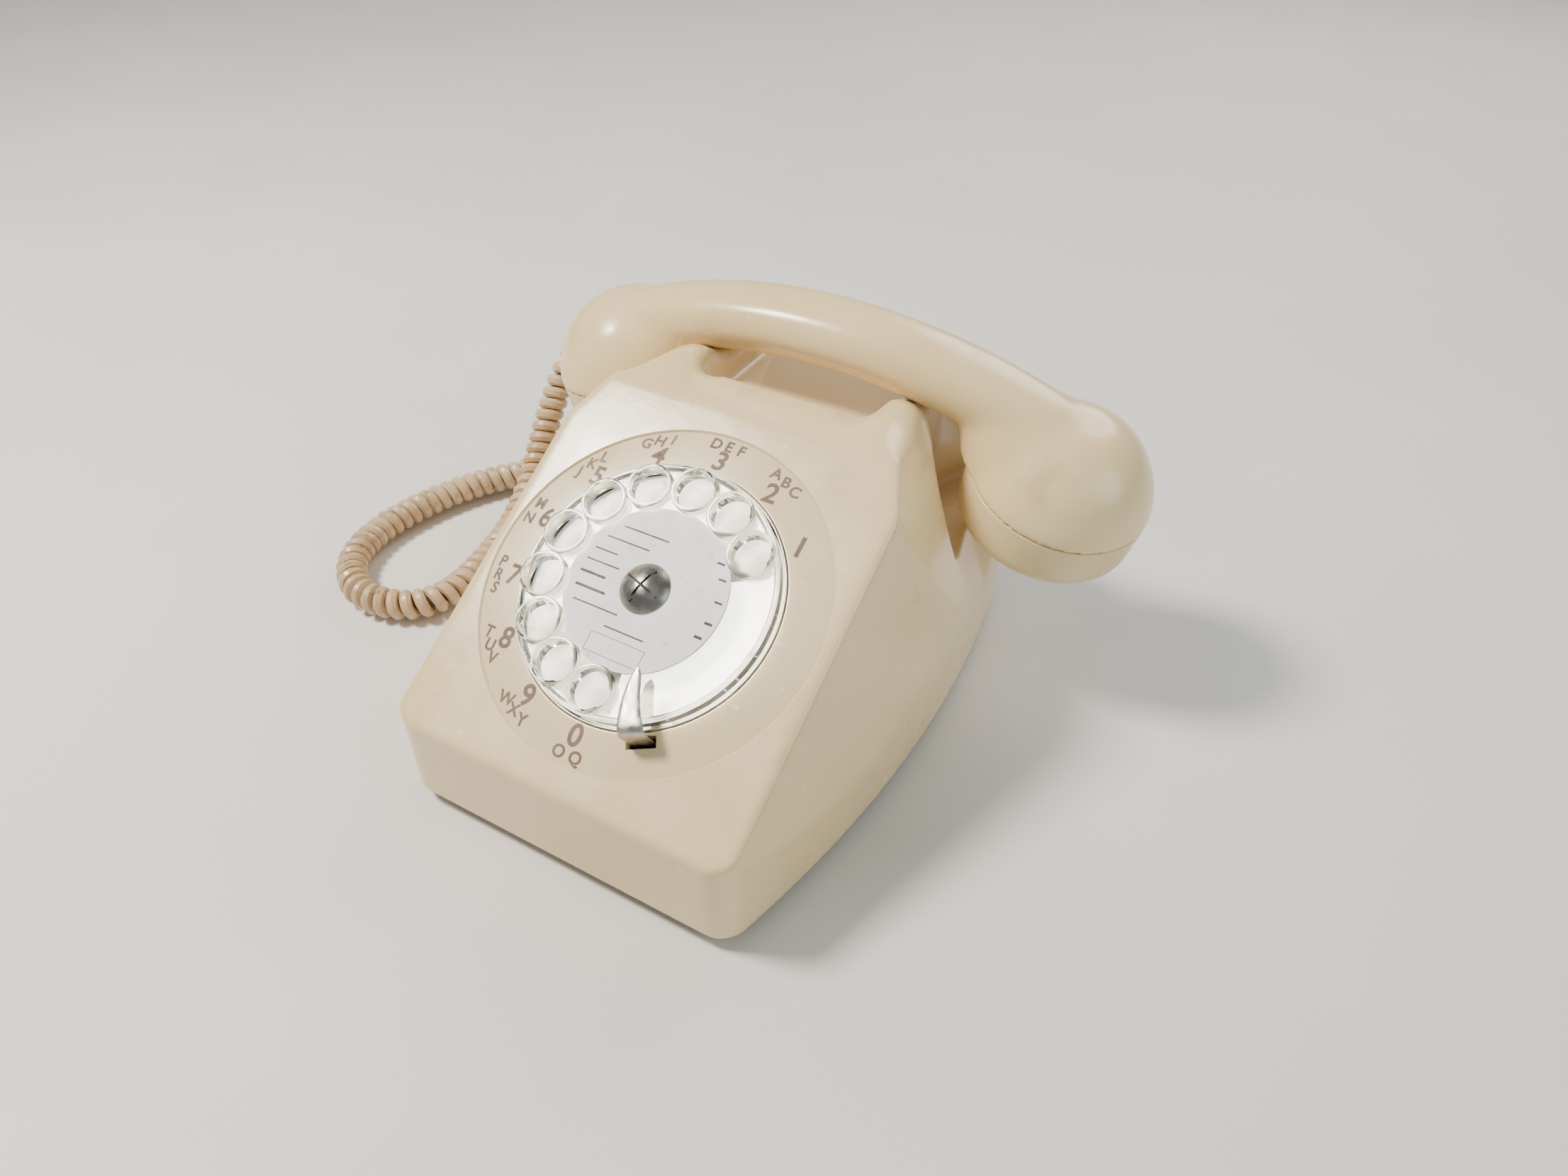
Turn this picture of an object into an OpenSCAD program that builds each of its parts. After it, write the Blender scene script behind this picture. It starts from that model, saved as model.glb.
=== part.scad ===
// Desk telephone with a finger dial: cover, dial unit, ringer, cradle switch and handset.
// Frame: +Z up, front faces -Y. The modules work from the middle of the body; placed() then moves
// the origin to the desk under the middle of the whole telephone, cord left aside.

/* [Body] */
// depth of the cover, front to back
body_depth = 190; // [170:215]
// greatest width of the skirt
body_width = 139; // [125:155]
// width of the skirt at its front corners
front_width = 114; // [100:122]
// distance of the widest section behind the middle of the body
wide_y = 10; // [0:25]
// height of the ridge along the top of the skirt
ridge_z = 33; // [26:40]
// slope of the dial face, from level, in degrees
face_tilt = 30.5; // [27:34]
// width of the dial face
face_width = 111; // [104:118]
// rounding of the front corners seen from above
front_corner = 9; // [5:16]
// rounding of the rear corners seen from above
rear_corner = 16; // [8:24]
// wall thickness of the cover
wall = 2.8; // [2.2:3.4]
// height of the rubber feet below the cover
foot_h = 4; // [3:6]

/* [Cradle] */
// height of the dial face where it stops in front of the ears
brow_z = 94.5; // [88:100]
// rise of the ears from front to back, in degrees
ear_rise = 3; // [1:6]
// distance of the handset's centre line behind the middle of the body
cradle_y = 50; // [46:56]
// half the width of the hollow between the ears
hollow_half = 29.5; // [26:33]
// depth of the channel under the handset's grip
channel_depth = 15; // [10:20]

/* [Dial] */
// distance of the dial's centre in front of the middle of the body
dial_forward = 41; // [36:46]
// height of the dial's centre above the desk
dial_z = 64; // [60:68]
// diameter of the numbered ring's outer step
ring_d = 104; // [98:108]
// diameter of the finger wheel
wheel_d = 76.8; // [72:80]
// diameter of each finger hole
hole_d = 12; // [11:12.4]
// distance of the finger holes from the dial's centre
hole_r = 31; // [30:31.5]
// teeth of the main gear
main_teeth = 50; // [40:50]
// teeth of the pinion it drives
pinion_teeth = 10; // [10:12]

/* [Handset] */
// distance between the centres of the two caps
cap_spread = 157; // [152:166]
// distance the handset lies to the right of the cradle's middle
handset_shift = 4.5; // [0:6]
// height of the grip's top above the desk
grip_top_z = 113; // [111:118]
// forward lean of the handset in its cradle, in degrees
handset_roll = 6; // [0:10]
// drop from the top of the grip to the seams of the caps
cap_drop = 41.5; // [38:45]
// width of the grip
grip_w = 26; // [22:30]
// diameter of the ear and mouth caps
cap_d = 57; // [54:60]
// lean of each cap towards the middle, in degrees
cap_lean = 14; // [10:18]

/* [Hidden] */

$fn = 64;
big = 400;
eps = 0.01;
play = 0.4;

// ---------- shared frames ----------
dial_pos = [0, -dial_forward, dial_z];
front_y = -body_depth / 2;
rear_y = body_depth / 2;
face_n = [0, -sin(face_tilt), cos(face_tilt)];
face_d = face_n * dial_pos;
// where the dial face reaches the brow
brow_y = -dial_forward + (brow_z - dial_z) / tan(face_tilt);
function ear_z(y) = brow_z + (y - brow_y) * tan(ear_rise);
// where the dial face would meet the skirt ridge
ridge_y = -dial_forward - (dial_z - ridge_z) / tan(face_tilt);

module at_dial(angle = 0, out = 0, lift = 0)
    translate(dial_pos) rotate([face_tilt, 0, 0]) rotate([0, 0, angle]) translate([out, 0, lift])
        children();

// keeps what lies on the inner side of the plane with normal n at distance d from the origin
module below_plane(n, d)
    rotate([0, 90 - asin(n[2] / norm(n)), atan2(n[1], n[0])])
        translate([-big, -big, d - 2 * big])
            cube(2 * big);

function unit(v) = v / norm(v);
function mirror_x(v) = [-v[0], v[1], v[2]];
function arc(c, r, a0, a1, n) =
    [for (i = [0:n]) let (a = a0 + (a1 - a0) * i / n) c + r * [cos(a), sin(a)]];

// ---------- body outline seen from above ----------
side_run = wide_y - front_y - front_corner;
side_r = side_run * side_run / (body_width - front_width);
function half_at(y) = body_width / 2 - (y - wide_y) * (y - wide_y) / (2 * side_r);
function slope_at(y) = atan((y - wide_y) / side_r);

function corner_arc(y, r, a_end) =
    let (a = slope_at(y), p = [half_at(y), y])
    arc(p - r * [cos(a), sin(a)], r, a, a_end, 8);

side_steps = 24;
function half_outline() =
    let (y0 = front_y + front_corner, y1 = rear_y - rear_corner,
         front = corner_arc(y0, front_corner, -90),
         back = corner_arc(y1, rear_corner, 90))
    concat([for (i = [len(front) - 1:-1:0]) front[i]],
        [for (i = [1:side_steps - 1]) let (y = y0 + (y1 - y0) * i / side_steps) [half_at(y), y]],
        back);

module outline(inset = 0) {
    pts = half_outline();
    half = body_width / 2;
    k = (half - inset) / half;
    ky = (rear_y - inset) / rear_y;
    sized = [for (p = pts) [p[0] * k, p[1] * ky]];
    flipped = [for (i = [len(sized) - 1:-1:0]) [-sized[i][0], sized[i][1]]];
    polygon(concat(sized, flipped));
}

// ---------- planes that shape the upper body ----------
face_side = [face_width / 2, front_y, ridge_z];
side_mid = [body_width / 2, 0, ridge_z];
facet_n = unit(cross([0, cos(face_tilt), sin(face_tilt)], side_mid - face_side)) * -1;
facet_d = facet_n * face_side;
// the cheek beside each ear leans outwards towards the skirt
cheek_top = [face_width / 2 - 1, 0, brow_z - 6.5];
cheek_low = [body_width / 2 - 0.5, 19.5, ridge_z + 10.5];
cheek_mid = [face_width / 2 - 11.5, cradle_y - 5, brow_z - 6.5];
cheek_n = unit(cross(cheek_low - cheek_top, cheek_mid - cheek_top));
cheek_d = cheek_n * cheek_top;
// mirror of the cheek behind the cradle
rear_cheek_n = [cheek_n[0], -cheek_n[1], cheek_n[2]];
rear_cheek_d = cheek_d - 2 * cradle_y * cheek_n[1];
top_n = [0, -sin(ear_rise), cos(ear_rise)];
top_d = top_n * [0, brow_y, brow_z];
ear_back_y = cradle_y + 24;
rear_low_z = 46;
rear_top_z = ear_z(ear_back_y);
rear_n = unit([0, rear_top_z - rear_low_z, rear_y - ear_back_y]);
rear_d = rear_n * [0, rear_y, rear_low_z];

module body_solid(inset = 0) {
    intersection() {
        translate([0, 0, foot_h])
            linear_extrude(ear_z(rear_y) + 10)
                outline(inset);
        below_plane(face_n, face_d - inset);
        below_plane(top_n, top_d - inset);
        below_plane(rear_n, rear_d - inset);
        below_plane(facet_n, facet_d - inset);
        below_plane(mirror_x(facet_n), facet_d - inset);
        union() {
            intersection() {
                translate([-big, cradle_y - big, 0]) cube([2 * big, big, big]);
                below_plane(cheek_n, cheek_d - inset);
                below_plane(mirror_x(cheek_n), cheek_d - inset);
            }
            intersection() {
                translate([-big, cradle_y, 0]) cube([2 * big, big, big]);
                below_plane(rear_cheek_n, rear_cheek_d - inset);
                below_plane(mirror_x(rear_cheek_n), rear_cheek_d - inset);
            }
        }
    }
}

// hollow between the ears: a shallow shelf, then the channel under the grip
shelf_y = brow_y + 20;
shelf_z = brow_z - 2;
channel_z = brow_z - channel_depth;
channel_y0 = shelf_y + 2;
channel_y1 = ear_back_y + 20;

module hollow_profile(grow = 0)
    polygon([[brow_y - grow, brow_z - grow], [shelf_y, shelf_z - grow],
        [channel_y0 - grow, channel_z - grow], [channel_y1, channel_z - grow],
        [channel_y1, brow_z + 2 * wall + 20], [brow_y - grow, brow_z + 2 * wall + 20]]);

module hollow(grow = 0)
    rotate([90, 0, 90])
        translate([0, 0, -hollow_half - grow])
            linear_extrude(2 * (hollow_half + grow))
                hollow_profile(grow);

// ---------- seats in the ears, plungers ----------
plunger_x = 34;
plunger_r = 2.2;
plunger_travel = 5;
shoulder_r = plunger_r + 0.8;
shoulder_t = 1.6;
boss_low = channel_z - wall;
plunger_low = boss_low - play - plunger_travel - shoulder_t;
boss_wall = 2.2;
seat_flare = 6;
cap_clear = 1.5;

// the grip's own lower half, grown all round and opening upwards, follows the grip's arc
module grip_room(grow = play) {
    low = [for (p = grip_section) if (p[1] > 0.4) [p[0] * (grip_w / 2 + grow), p[1] * grip_h + grow]];
    top = [grip_w / 2 + grow + seat_flare, -2 * grip_h];
    half = concat([[0, top[1]], top], low);
    other = [for (i = [len(half) - 2:-1:1]) [-half[i][0], half[i][1]]];
    at_handset() grip_sweep(grip_half_angle, concat(half, other));
}

// room beside the body for a cap as it hangs and as it is lifted straight up
module cap_room(grow = 0) {
    low = cap_h - cap_edge;
    x = cap_x - handset_shift - low * sin(cap_lean);
    y = grip_y + (cap_drop + low) * sin(handset_roll);
    z = grip_top_z - (cap_drop + cap_h) * cos(handset_roll);
    for (side = [-1, 1])
        translate([side * x, y, z - grow])
            cylinder(r = cap_r + cap_clear + grow, h = big, $fn = 96);
}

// ---------- dial stack, measured from the dial face ----------
hole_step = 360 / 14;
stop_angle = -5 * hole_step / 2;
function hole_angle(i) = 1.5 * hole_step + i * hole_step;
opening_r = wheel_d / 2 + 1;
ring_step = 0.6;
ring_rise = 1;
plate_r = wheel_d / 2 - 0.2;
plate_w = -1.4;
plate_t = 1.2;
wheel_w = 1.8;
wheel_t = 2.4;
collar_w = 7;
collar_t = 0.75;
card_r = 24.4;
card_t = 0.3;
screw_r = 7.4;
front_plate_w = -5.6;
back_plate_w = -13.4;
chassis_t = 1.4;
chassis_r = wheel_d / 2 - 1.4;
shaft_r = 3;
lug_r = 46;
lug_count = 3;
function lug_angle(i) = 30 + 120 * i;
stop_r = 42;
stop_w = 8.3;
stop_t = 1;
stop_width = 7.2;
stop_tip_r = 24;

/* gear train */
main_m = 1;
main_r = main_m * main_teeth / 2;
pinion_r = main_m * pinion_teeth / 2;
train_x = main_r + pinion_r;
train_angle = 180;
main_w = -10.2;
gear_over = 0.15;
main_t = 1.8;
second_m = 0.8;
second_teeth = 40;
gov_teeth = 10;
second_r = second_m * second_teeth / 2;
gov_r = second_m * gov_teeth / 2;
gov_x = second_r + gov_r;
second_w = -17.2;
second_t = 1.6;
// the governor shaft sits up the slope from the pinion
gov_angle = 90;
gov_floor_w = -27;
gov_foot = [12, 9];

// ---------- handset frame ----------
// the handset's own frame: origin on top of the grip, above the cradle
grip_y = cradle_y + 4;
cap_x = cap_spread / 2;
cap_z = -cap_drop;
cap_r = cap_d / 2;
cap_h = 20;
bowl_h = 24;
cap_edge = 5;
cap_wall = 2.2;
grip_r = 200;
grip_h = 19.5;
grip_half_angle = asin((cap_x - 2) / grip_r);
// cross-section of the grip: across, then down from its top
grip_section = [[0, 0], [0.38, 0.015], [0.7, 0.1], [0.92, 0.28], [1, 0.49], [0.92, 0.72],
    [0.7, 0.91], [0.38, 0.985], [0, 1]];

module at_handset()
    translate([handset_shift, grip_y, grip_top_z]) rotate([handset_roll, 0, 0])
        children();
function handset_point(p) =
    let (c = cos(handset_roll), s = sin(handset_roll))
    [handset_shift, grip_y, grip_top_z] + [p[0], p[1] * c - p[2] * s, p[1] * s + p[2] * c];
// height of the grip's underside above the desk
function seat_z(x) =
    grip_top_z - cos(handset_roll) * (grip_r - sqrt(pow(grip_r - grip_h, 2) - pow(x - handset_shift, 2)));
plunger_y = grip_y + grip_h * sin(handset_roll);

// sweeps a section, given across and down from the grip's top, along the grip's arc
module grip_sweep(half_angle, section)
    translate([0, 0, -grip_r])
        rotate([90, 0, 0])
            rotate([0, 0, 90 - half_angle])
                rotate_extrude(angle = 2 * half_angle, $fn = 240)
                    polygon([for (p = section) [grip_r - p[1], p[0]]]);

module cap_frame(side)
    translate([side * cap_x, 0, cap_z])
        rotate([0, side * cap_lean, 0])
            children();

module at_cap(side)
    at_handset() cap_frame(side) children();

// ================= base =================
module cover_shell() {
    color("#e2d4b8") difference() {
        union() {
            difference() {
                body_solid(0);
                difference() {
                    translate([0, 0, -eps]) body_solid(wall);
                    hollow(wall);
                    grip_room(wall);
                    cap_room(wall);
                    boss_keep();
                }
                translate([0, 0, -eps])
                    linear_extrude(foot_h + 2 * wall)
                        outline(wall);
                hollow(0);
                at_dial(0, 0, -ring_step) cylinder(r = ring_d / 2, h = 30);
            }
            at_dial() number_ring();
            bosses();
        }
        grip_room();
        cap_room();
        at_dial(0, 0, -30) cylinder(r = opening_r, h = 60);
        at_dial(stop_angle, stop_r, 0) cube([3.4, stop_width + 1.4, 60], center = true);
        for (side = [-1, 1]) {
            translate([side * plunger_x, plunger_y, plunger_low]) cylinder(r = plunger_r + play, h = 60);
            for (y = post_y)
                translate([side * post_x(y), y, 0]) cylinder(r = post_hole_r, h = foot_h + 16);
        }
        for (i = [0:lug_count - 1])
            at_dial(lug_angle(i), lug_r, front_plate_w) cylinder(r = 1.2, h = 5);
        translate([gland_x, rear_y + 1, gland_z]) rotate([90, 0, 0]) cylinder(r = gland_r, h = 3 * wall);
        translate([inlet_x, rear_y + 1, gland_z]) rotate([90, 0, 0]) cylinder(r = gland_r, h = 3 * wall);
    }
}

// raised conical ring that carries the numbers
module number_ring()
    rotate_extrude($fn = 120)
        polygon([[opening_r, -wall], [ring_d / 2 + eps, -wall], [ring_d / 2 + eps, -ring_step],
            [opening_r, ring_rise]]);

post_y = [-66, 84];
post_r = 4.2;
post_hole_r = 1.6;
function post_x(y) = half_at(y) - 14;

// dial mounting bosses and the four screw posts
module bosses() {
    for (i = [0:lug_count - 1])
        at_dial(lug_angle(i), lug_r, front_plate_w + chassis_t)
            cylinder(r = 4, h = -front_plate_w - chassis_t - ring_step);
    intersection() {
        body_solid(wall / 2);
        for (side = [-1, 1])
            for (y = post_y)
                translate([side * post_x(y), y, foot_h + plate_th + 0.1]) cylinder(r = post_r, h = 90);
    }
}

module boss_keep()
    for (side = [-1, 1])
        translate([side * plunger_x, plunger_y, boss_low]) cylinder(r = plunger_r + boss_wall, h = 40);

plate_th = 1.6;
module base_plate() {
    color("#3a3a38") difference() {
        translate([0, 0, foot_h])
            linear_extrude(plate_th)
                outline(wall + play);
        for (side = [-1, 1])
            for (y = post_y)
                translate([side * post_x(y), y, 0]) cylinder(r = 1.9, h = 20);
        for (side = [-1, 1])
            for (y = foot_y)
                translate([side * foot_x(y), y, 0]) cylinder(r = foot_stem_r, h = 20);
        // sound slots under the ringer
        for (i = [-3:3])
            translate([i * 8 - 1.5, 44, 0]) cube([3, 22, 20]);
    }
}

foot_y = [-82, 60];
foot_r = 8;
foot_stem_r = 3.2;
function foot_x(y) = half_at(y) - 14;
module rubber_feet()
    color("#1c1b1a")
        for (side = [-1, 1])
            for (y = foot_y)
                translate([side * foot_x(y), y, 0]) {
                    cylinder(r1 = foot_r - 1, r2 = foot_r, h = foot_h);
                    cylinder(r = foot_stem_r, h = foot_h + plate_th + 0.2);
                    translate([0, 0, foot_h + plate_th]) cylinder(r = foot_stem_r + 1, h = 1.4);
                }

module cover_screws()
    color("#b9b6ad")
        for (side = [-1, 1])
            for (y = post_y)
                translate([side * post_x(y), y, 0]) {
                    translate([0, 0, foot_h - 1.8]) cylinder(r = 3.2, h = 1.8);
                    translate([0, 0, foot_h - 1.8]) cylinder(r = post_hole_r, h = 14);
                }

// ================= dial, fixed parts =================
module dial_plate()
    color("#ece6d6") at_dial(0, 0, plate_w - plate_t) difference() {
        cylinder(r = plate_r, h = plate_t, $fn = 96);
        translate([0, 0, -1]) cylinder(r = shaft_r + 1, h = 5);
    }

module dial_front_plate()
    color("#b8b5ac") at_dial(0, 0, front_plate_w) difference() {
        union() {
            cylinder(r = chassis_r, h = chassis_t, $fn = 96);
            for (i = [0:lug_count - 1])
                rotate([0, 0, lug_angle(i)])
                    translate([chassis_r - 4, -4, 0])
                        cube([lug_r - chassis_r + 8, 8, chassis_t]);
            rotate([0, 0, stop_angle]) translate([chassis_r - 6, -4, 0]) cube([6, 8, chassis_t]);
        }
        translate([0, 0, -1]) cylinder(r = shaft_r + 0.05, h = 5);
        for (i = [0:lug_count - 1])
            rotate([0, 0, lug_angle(i)]) translate([lug_r, 0, -1]) cylinder(r = 1.5, h = 5);
        rotate([0, 0, train_angle]) translate([train_x, 0, -1]) cylinder(r = 1.25, h = 5);
    }

module dial_back_plate()
    color("#aaa79e") at_dial(0, 0, back_plate_w) difference() {
        union() {
            cylinder(r = chassis_r, h = chassis_t, $fn = 96);
            // foot of the governor bracket
            rotate([0, 0, train_angle])
                translate([train_x - gov_foot[0] + 4, -gov_x - gov_foot[1], 0])
                    cube([gov_foot[0], gov_x + gov_foot[0], chassis_t]);
        }
        translate([0, 0, -1]) cylinder(r = shaft_r + 0.05, h = 5);
        rotate([0, 0, train_angle]) translate([train_x, 0, -1]) cylinder(r = 1.25, h = 5);
        rotate([0, 0, train_angle]) translate([train_x, -gov_x, -1]) cylinder(r = 1.05, h = 5);
    }

pillar_angles = [60, 240, 315];
pillar_out = 32;
pillar_r = 2;
module dial_pillars()
    color("#8f8c84")
        for (a = pillar_angles) {
            at_dial(a, pillar_out, back_plate_w + chassis_t)
                cylinder(r = pillar_r, h = front_plate_w - back_plate_w - chassis_t);
            // spacer that carries the cream plate
            at_dial(a, pillar_out, front_plate_w + chassis_t)
                cylinder(r = pillar_r, h = plate_w - plate_t - front_plate_w - chassis_t);
        }

module dial_mount_screws()
    color("#b9b6ad")
        for (i = [0:lug_count - 1])
            at_dial(lug_angle(i), lug_r, front_plate_w - 1.6) {
                cylinder(r = 2.6, h = 1.6);
                cylinder(r = 1.2, h = 5.2);
            }

// bent steel strip: a leg up through the slot, then a horn over the wheel
module finger_stop() {
    inner_run = stop_r - stop_tip_r;
    color("#b7b4ac") at_dial(stop_angle) {
        translate([stop_r - stop_t / 2, -stop_width / 2, front_plate_w])
            cube([stop_t, stop_width, stop_w + stop_t - front_plate_w]);
        translate([chassis_r - 0.5, -stop_width / 2, front_plate_w + chassis_t])
            cube([stop_r - chassis_r + 1, stop_width, 1]);
        translate([0, 0, stop_w])
            linear_extrude(stop_t)
                polygon([[stop_r + stop_t / 2, -stop_width / 2], [stop_r + stop_t / 2, stop_width / 2],
                    [stop_r - inner_run * 0.35, stop_width / 2 - 0.6],
                    [stop_r - inner_run * 0.7, stop_width / 2 - 1.2],
                    [stop_tip_r, stop_width / 2 - 1.4], [stop_tip_r + 0.6, stop_width / 2 - 3],
                    [stop_r - inner_run * 0.55, -stop_width / 2 + 1.6]]);
    }
}

barrel_r = 10;
barrel_h = 8;
module spring_barrel()
    color("#9c8f6a") at_dial(0, 0, back_plate_w - barrel_h) difference() {
        cylinder(r = barrel_r, h = barrel_h);
        translate([0, 0, 1]) cylinder(r = barrel_r - 1, h = barrel_h - 2);
        translate([0, 0, -1]) cylinder(r = shaft_r + play, h = barrel_h + 2);
    }

cam_w = back_plate_w + chassis_t + 0.4;
cam_t = 1.2;
cam_r = 6.6;
contact_y = 16;
module pulse_contacts() {
    color("#c9a24a") at_dial(train_angle, train_x + cam_r + 1.2, cam_w - 0.2)
        for (i = [0:2])
            translate([i * 1.3, -contact_y, 0]) cube([0.5, contact_y + 2, 1.6]);
    color("#5b2f1c") at_dial(train_angle, train_x + cam_r + 0.6, back_plate_w + chassis_t)
        translate([0, -contact_y - 6, 0]) cube([4.6, 6.5, 4]);
}

module governor_cup()
    color("#b08d46") at_dial(train_angle) translate([train_x, -gov_x, 0]) {
        translate([0, 0, gov_floor_w]) difference() {
            cylinder(r = 10.2, h = 7.4);
            translate([0, 0, 1.2]) cylinder(r = 9.2, h = 10);
            translate([0, 0, -1]) cylinder(r = 1.05, h = 5);
        }
        // bracket up to the back plate
        translate([-4, -10.2, gov_floor_w]) cube([8, 1.4, back_plate_w - gov_floor_w]);
    }

// ================= dial, turning parts =================
module finger_wheel()
    color([0.93, 0.95, 0.95, 0.35]) at_dial(0, 0, wheel_w) difference() {
        union() {
            cylinder(r = wheel_d / 2, h = wheel_t, $fn = 120);
            // raised edge
            rotate_extrude($fn = 120) translate([wheel_d / 2 - 1.4, 0]) square([1.4, wheel_t + 1]);
            for (i = [0:9])
                rotate([0, 0, hole_angle(i)]) translate([hole_r, 0, 0])
                    cylinder(r = hole_d / 2 + collar_t, h = collar_w - wheel_w, $fn = 48);
        }
        for (i = [0:9])
            rotate([0, 0, hole_angle(i)]) translate([hole_r, 0, -1])
                cylinder(r = hole_d / 2, h = 12, $fn = 48);
        translate([0, 0, -1]) cylinder(r = 1.7, h = 12);
    }

// paper card with scallops that clear the finger holes
module label_card()
    color("#f3f0ea") at_dial(0, 0, wheel_w + wheel_t) linear_extrude(card_t) difference() {
        circle(r = card_r, $fn = 96);
        for (i = [0:9])
            rotate(hole_angle(i)) translate([hole_r, 0]) circle(r = hole_d / 2 + collar_t + play, $fn = 48);
        circle(r = 1.7);
    }

module dial_screw()
    color("#9b978f") at_dial(0, 0, wheel_w + wheel_t + card_t) difference() {
        union() {
            intersection() {
                translate([0, 0, -7.2]) sphere(r = 10.4, $fn = 96);
                cylinder(r = screw_r, h = 6, $fn = 96);
            }
            translate([0, 0, -9]) cylinder(r = 1.5, h = 10);
        }
        for (a = [0, 90])
            rotate([0, 0, a]) translate([-screw_r, -0.45, 1.6]) cube([2 * screw_r, 0.9, 4]);
    }

module dial_shaft()
    color("#8f8c84") at_dial(0, 0, back_plate_w - barrel_h - 2) difference() {
        cylinder(r = shaft_r, h = wheel_w - back_plate_w + barrel_h + 2);
        translate([0, 0, wheel_w - back_plate_w + barrel_h + 2 - 6.5]) cylinder(r = 1.5, h = 10);
    }

// spur gear outline: flat-topped teeth, thinner than the gaps they run in
module gear_2d(teeth, m) {
    tooth = 360 / teeth;
    root_r = m * (teeth / 2 - 1.2);
    tip_r = m * (teeth / 2 + 0.8);
    circle(r = root_r, $fn = 2 * teeth < 40 ? 40 : 2 * teeth);
    for (i = [0:teeth - 1])
        rotate(i * tooth)
            polygon([[root_r - 0.5, -m * 0.75], [tip_r, -m * 0.28],
                [tip_r, m * 0.28], [root_r - 0.5, m * 0.75]]);
}

module main_gear()
    color("#b59a52") at_dial(0, 0, main_w) linear_extrude(main_t) difference() {
        gear_2d(main_teeth, main_m);
        circle(r = shaft_r - eps);
        for (i = [0:3])
            rotate(45 + 90 * i) translate([main_r * 0.56, 0]) circle(r = main_r * 0.2);
    }

module at_train()
    at_dial(train_angle) translate([train_x, 0, 0]) children();
// the governor's place beside the pinion
module at_governor()
    at_dial(train_angle) translate([train_x, -gov_x, 0]) children();

module pinion_shaft()
    color("#8f8c84") at_train() {
        translate([0, 0, second_w - 1]) cylinder(r = 1.2, h = front_plate_w + chassis_t - second_w + 1);
        translate([0, 0, main_w - gear_over])
            rotate(180 / pinion_teeth)
                linear_extrude(main_t + 2 * gear_over)
                    gear_2d(pinion_teeth, main_m);
    }

module pulse_cam()
    color("#d8d2c2") at_train() translate([0, 0, cam_w]) linear_extrude(cam_t) difference() {
        union() {
            circle(r = cam_r - 1.6);
            for (a = [0, 180])
                rotate(a) translate([cam_r - 2.6, 0]) circle(r = 2);
        }
        circle(r = 1.2 - eps);
    }

module second_gear()
    color("#b59a52") at_train() translate([0, 0, second_w]) linear_extrude(second_t) difference() {
        gear_2d(second_teeth, second_m);
        circle(r = 1.2 - eps);
    }

module governor_shaft()
    color("#8f8c84") at_governor() {
        translate([0, 0, gov_floor_w]) cylinder(r = 1, h = back_plate_w + chassis_t - gov_floor_w);
        translate([0, 0, second_w - gear_over])
            rotate(gov_phase)
                linear_extrude(second_t + 2 * gear_over)
                    gear_2d(gov_teeth, second_m);
    }

// the big gear's tooth nearest the governor fixes how the small gear must sit
gov_phase = 90 + 180 / gov_teeth;

module governor_weights()
    color("#a8a49a") at_governor() translate([0, 0, gov_floor_w + 2]) difference() {
        union() {
            cylinder(r = 3, h = 4);
            for (a = [20, 200])
                rotate([0, 0, a]) translate([0, -2.5, 0]) cube([8, 5, 4]);
        }
        translate([0, 0, -1]) cylinder(r = 1 - eps, h = 8);
    }

// ================= circuit =================
board_x = 76;
board_y0 = -88;
board_y1 = -42;
board_z = foot_h + plate_th + 4;
board_t = 1.6;
module circuit_board()
    color("#3d5a34") difference() {
        translate([-board_x / 2, board_y0, board_z]) cube([board_x, board_y1 - board_y0, board_t]);
        at_board_holes() cylinder(r = board_screw_r, h = 40);
    }

board_hole_x = board_x / 2 - 4;
board_hole_y = [board_y0 + 6, board_y1 - 4];
board_top = board_z + board_t;
board_screw_r = 1.3;
module at_board_holes()
    for (x = [-board_hole_x, board_hole_x])
        for (y = board_hole_y)
            translate([x, y, 0])
                children();

// hollow spacer under the board, screw through it, head above it
module board_screws()
    color("#b9b6ad") at_board_holes() {
        translate([0, 0, foot_h + plate_th]) cylinder(r = 2.6, h = board_z - foot_h - plate_th);
        translate([0, 0, board_z - 1]) cylinder(r = board_screw_r, h = board_t + 1.4);
        translate([0, 0, board_top]) cylinder(r = 2.4, h = 1.4);
    }

coil_frame = [18, 16, 2];
winding_r = 6;
module induction_coil()
    translate([-26, -76, board_top]) {
        color("#6a655c") cube(coil_frame);
        color("#a5562b") translate([1, coil_frame[1] / 2, 9]) rotate([0, 90, 0])
            cylinder(r = winding_r, h = coil_frame[0] - 2);
        color("#6a655c")
            for (x = [0, coil_frame[0] - 2])
                translate([x, 1, 0]) cube([2, coil_frame[1] - 2, 9 + winding_r + 0.5]);
    }

can_r = 5;
can_len = 22;
lead_len = 1.5;
module capacitor()
    color("#2f4a6b") translate([4, -70, board_top + can_r]) rotate([0, 90, 0]) {
        cylinder(r = can_r, h = can_len);
        translate([0, 0, -lead_len]) cylinder(r = 0.5, h = can_len + 2 * lead_len);
    }

block = [40, 8, 5];
clamp_step = 6.6;
module terminal_block()
    color("#26241f") translate([-block[0] / 2, -54, board_top]) difference() {
        cube(block);
        for (i = [0:5])
            translate([3.5 + i * clamp_step, block[1] / 2, block[2] / 2]) cylinder(r = 1.8, h = block[2]);
    }

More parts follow.
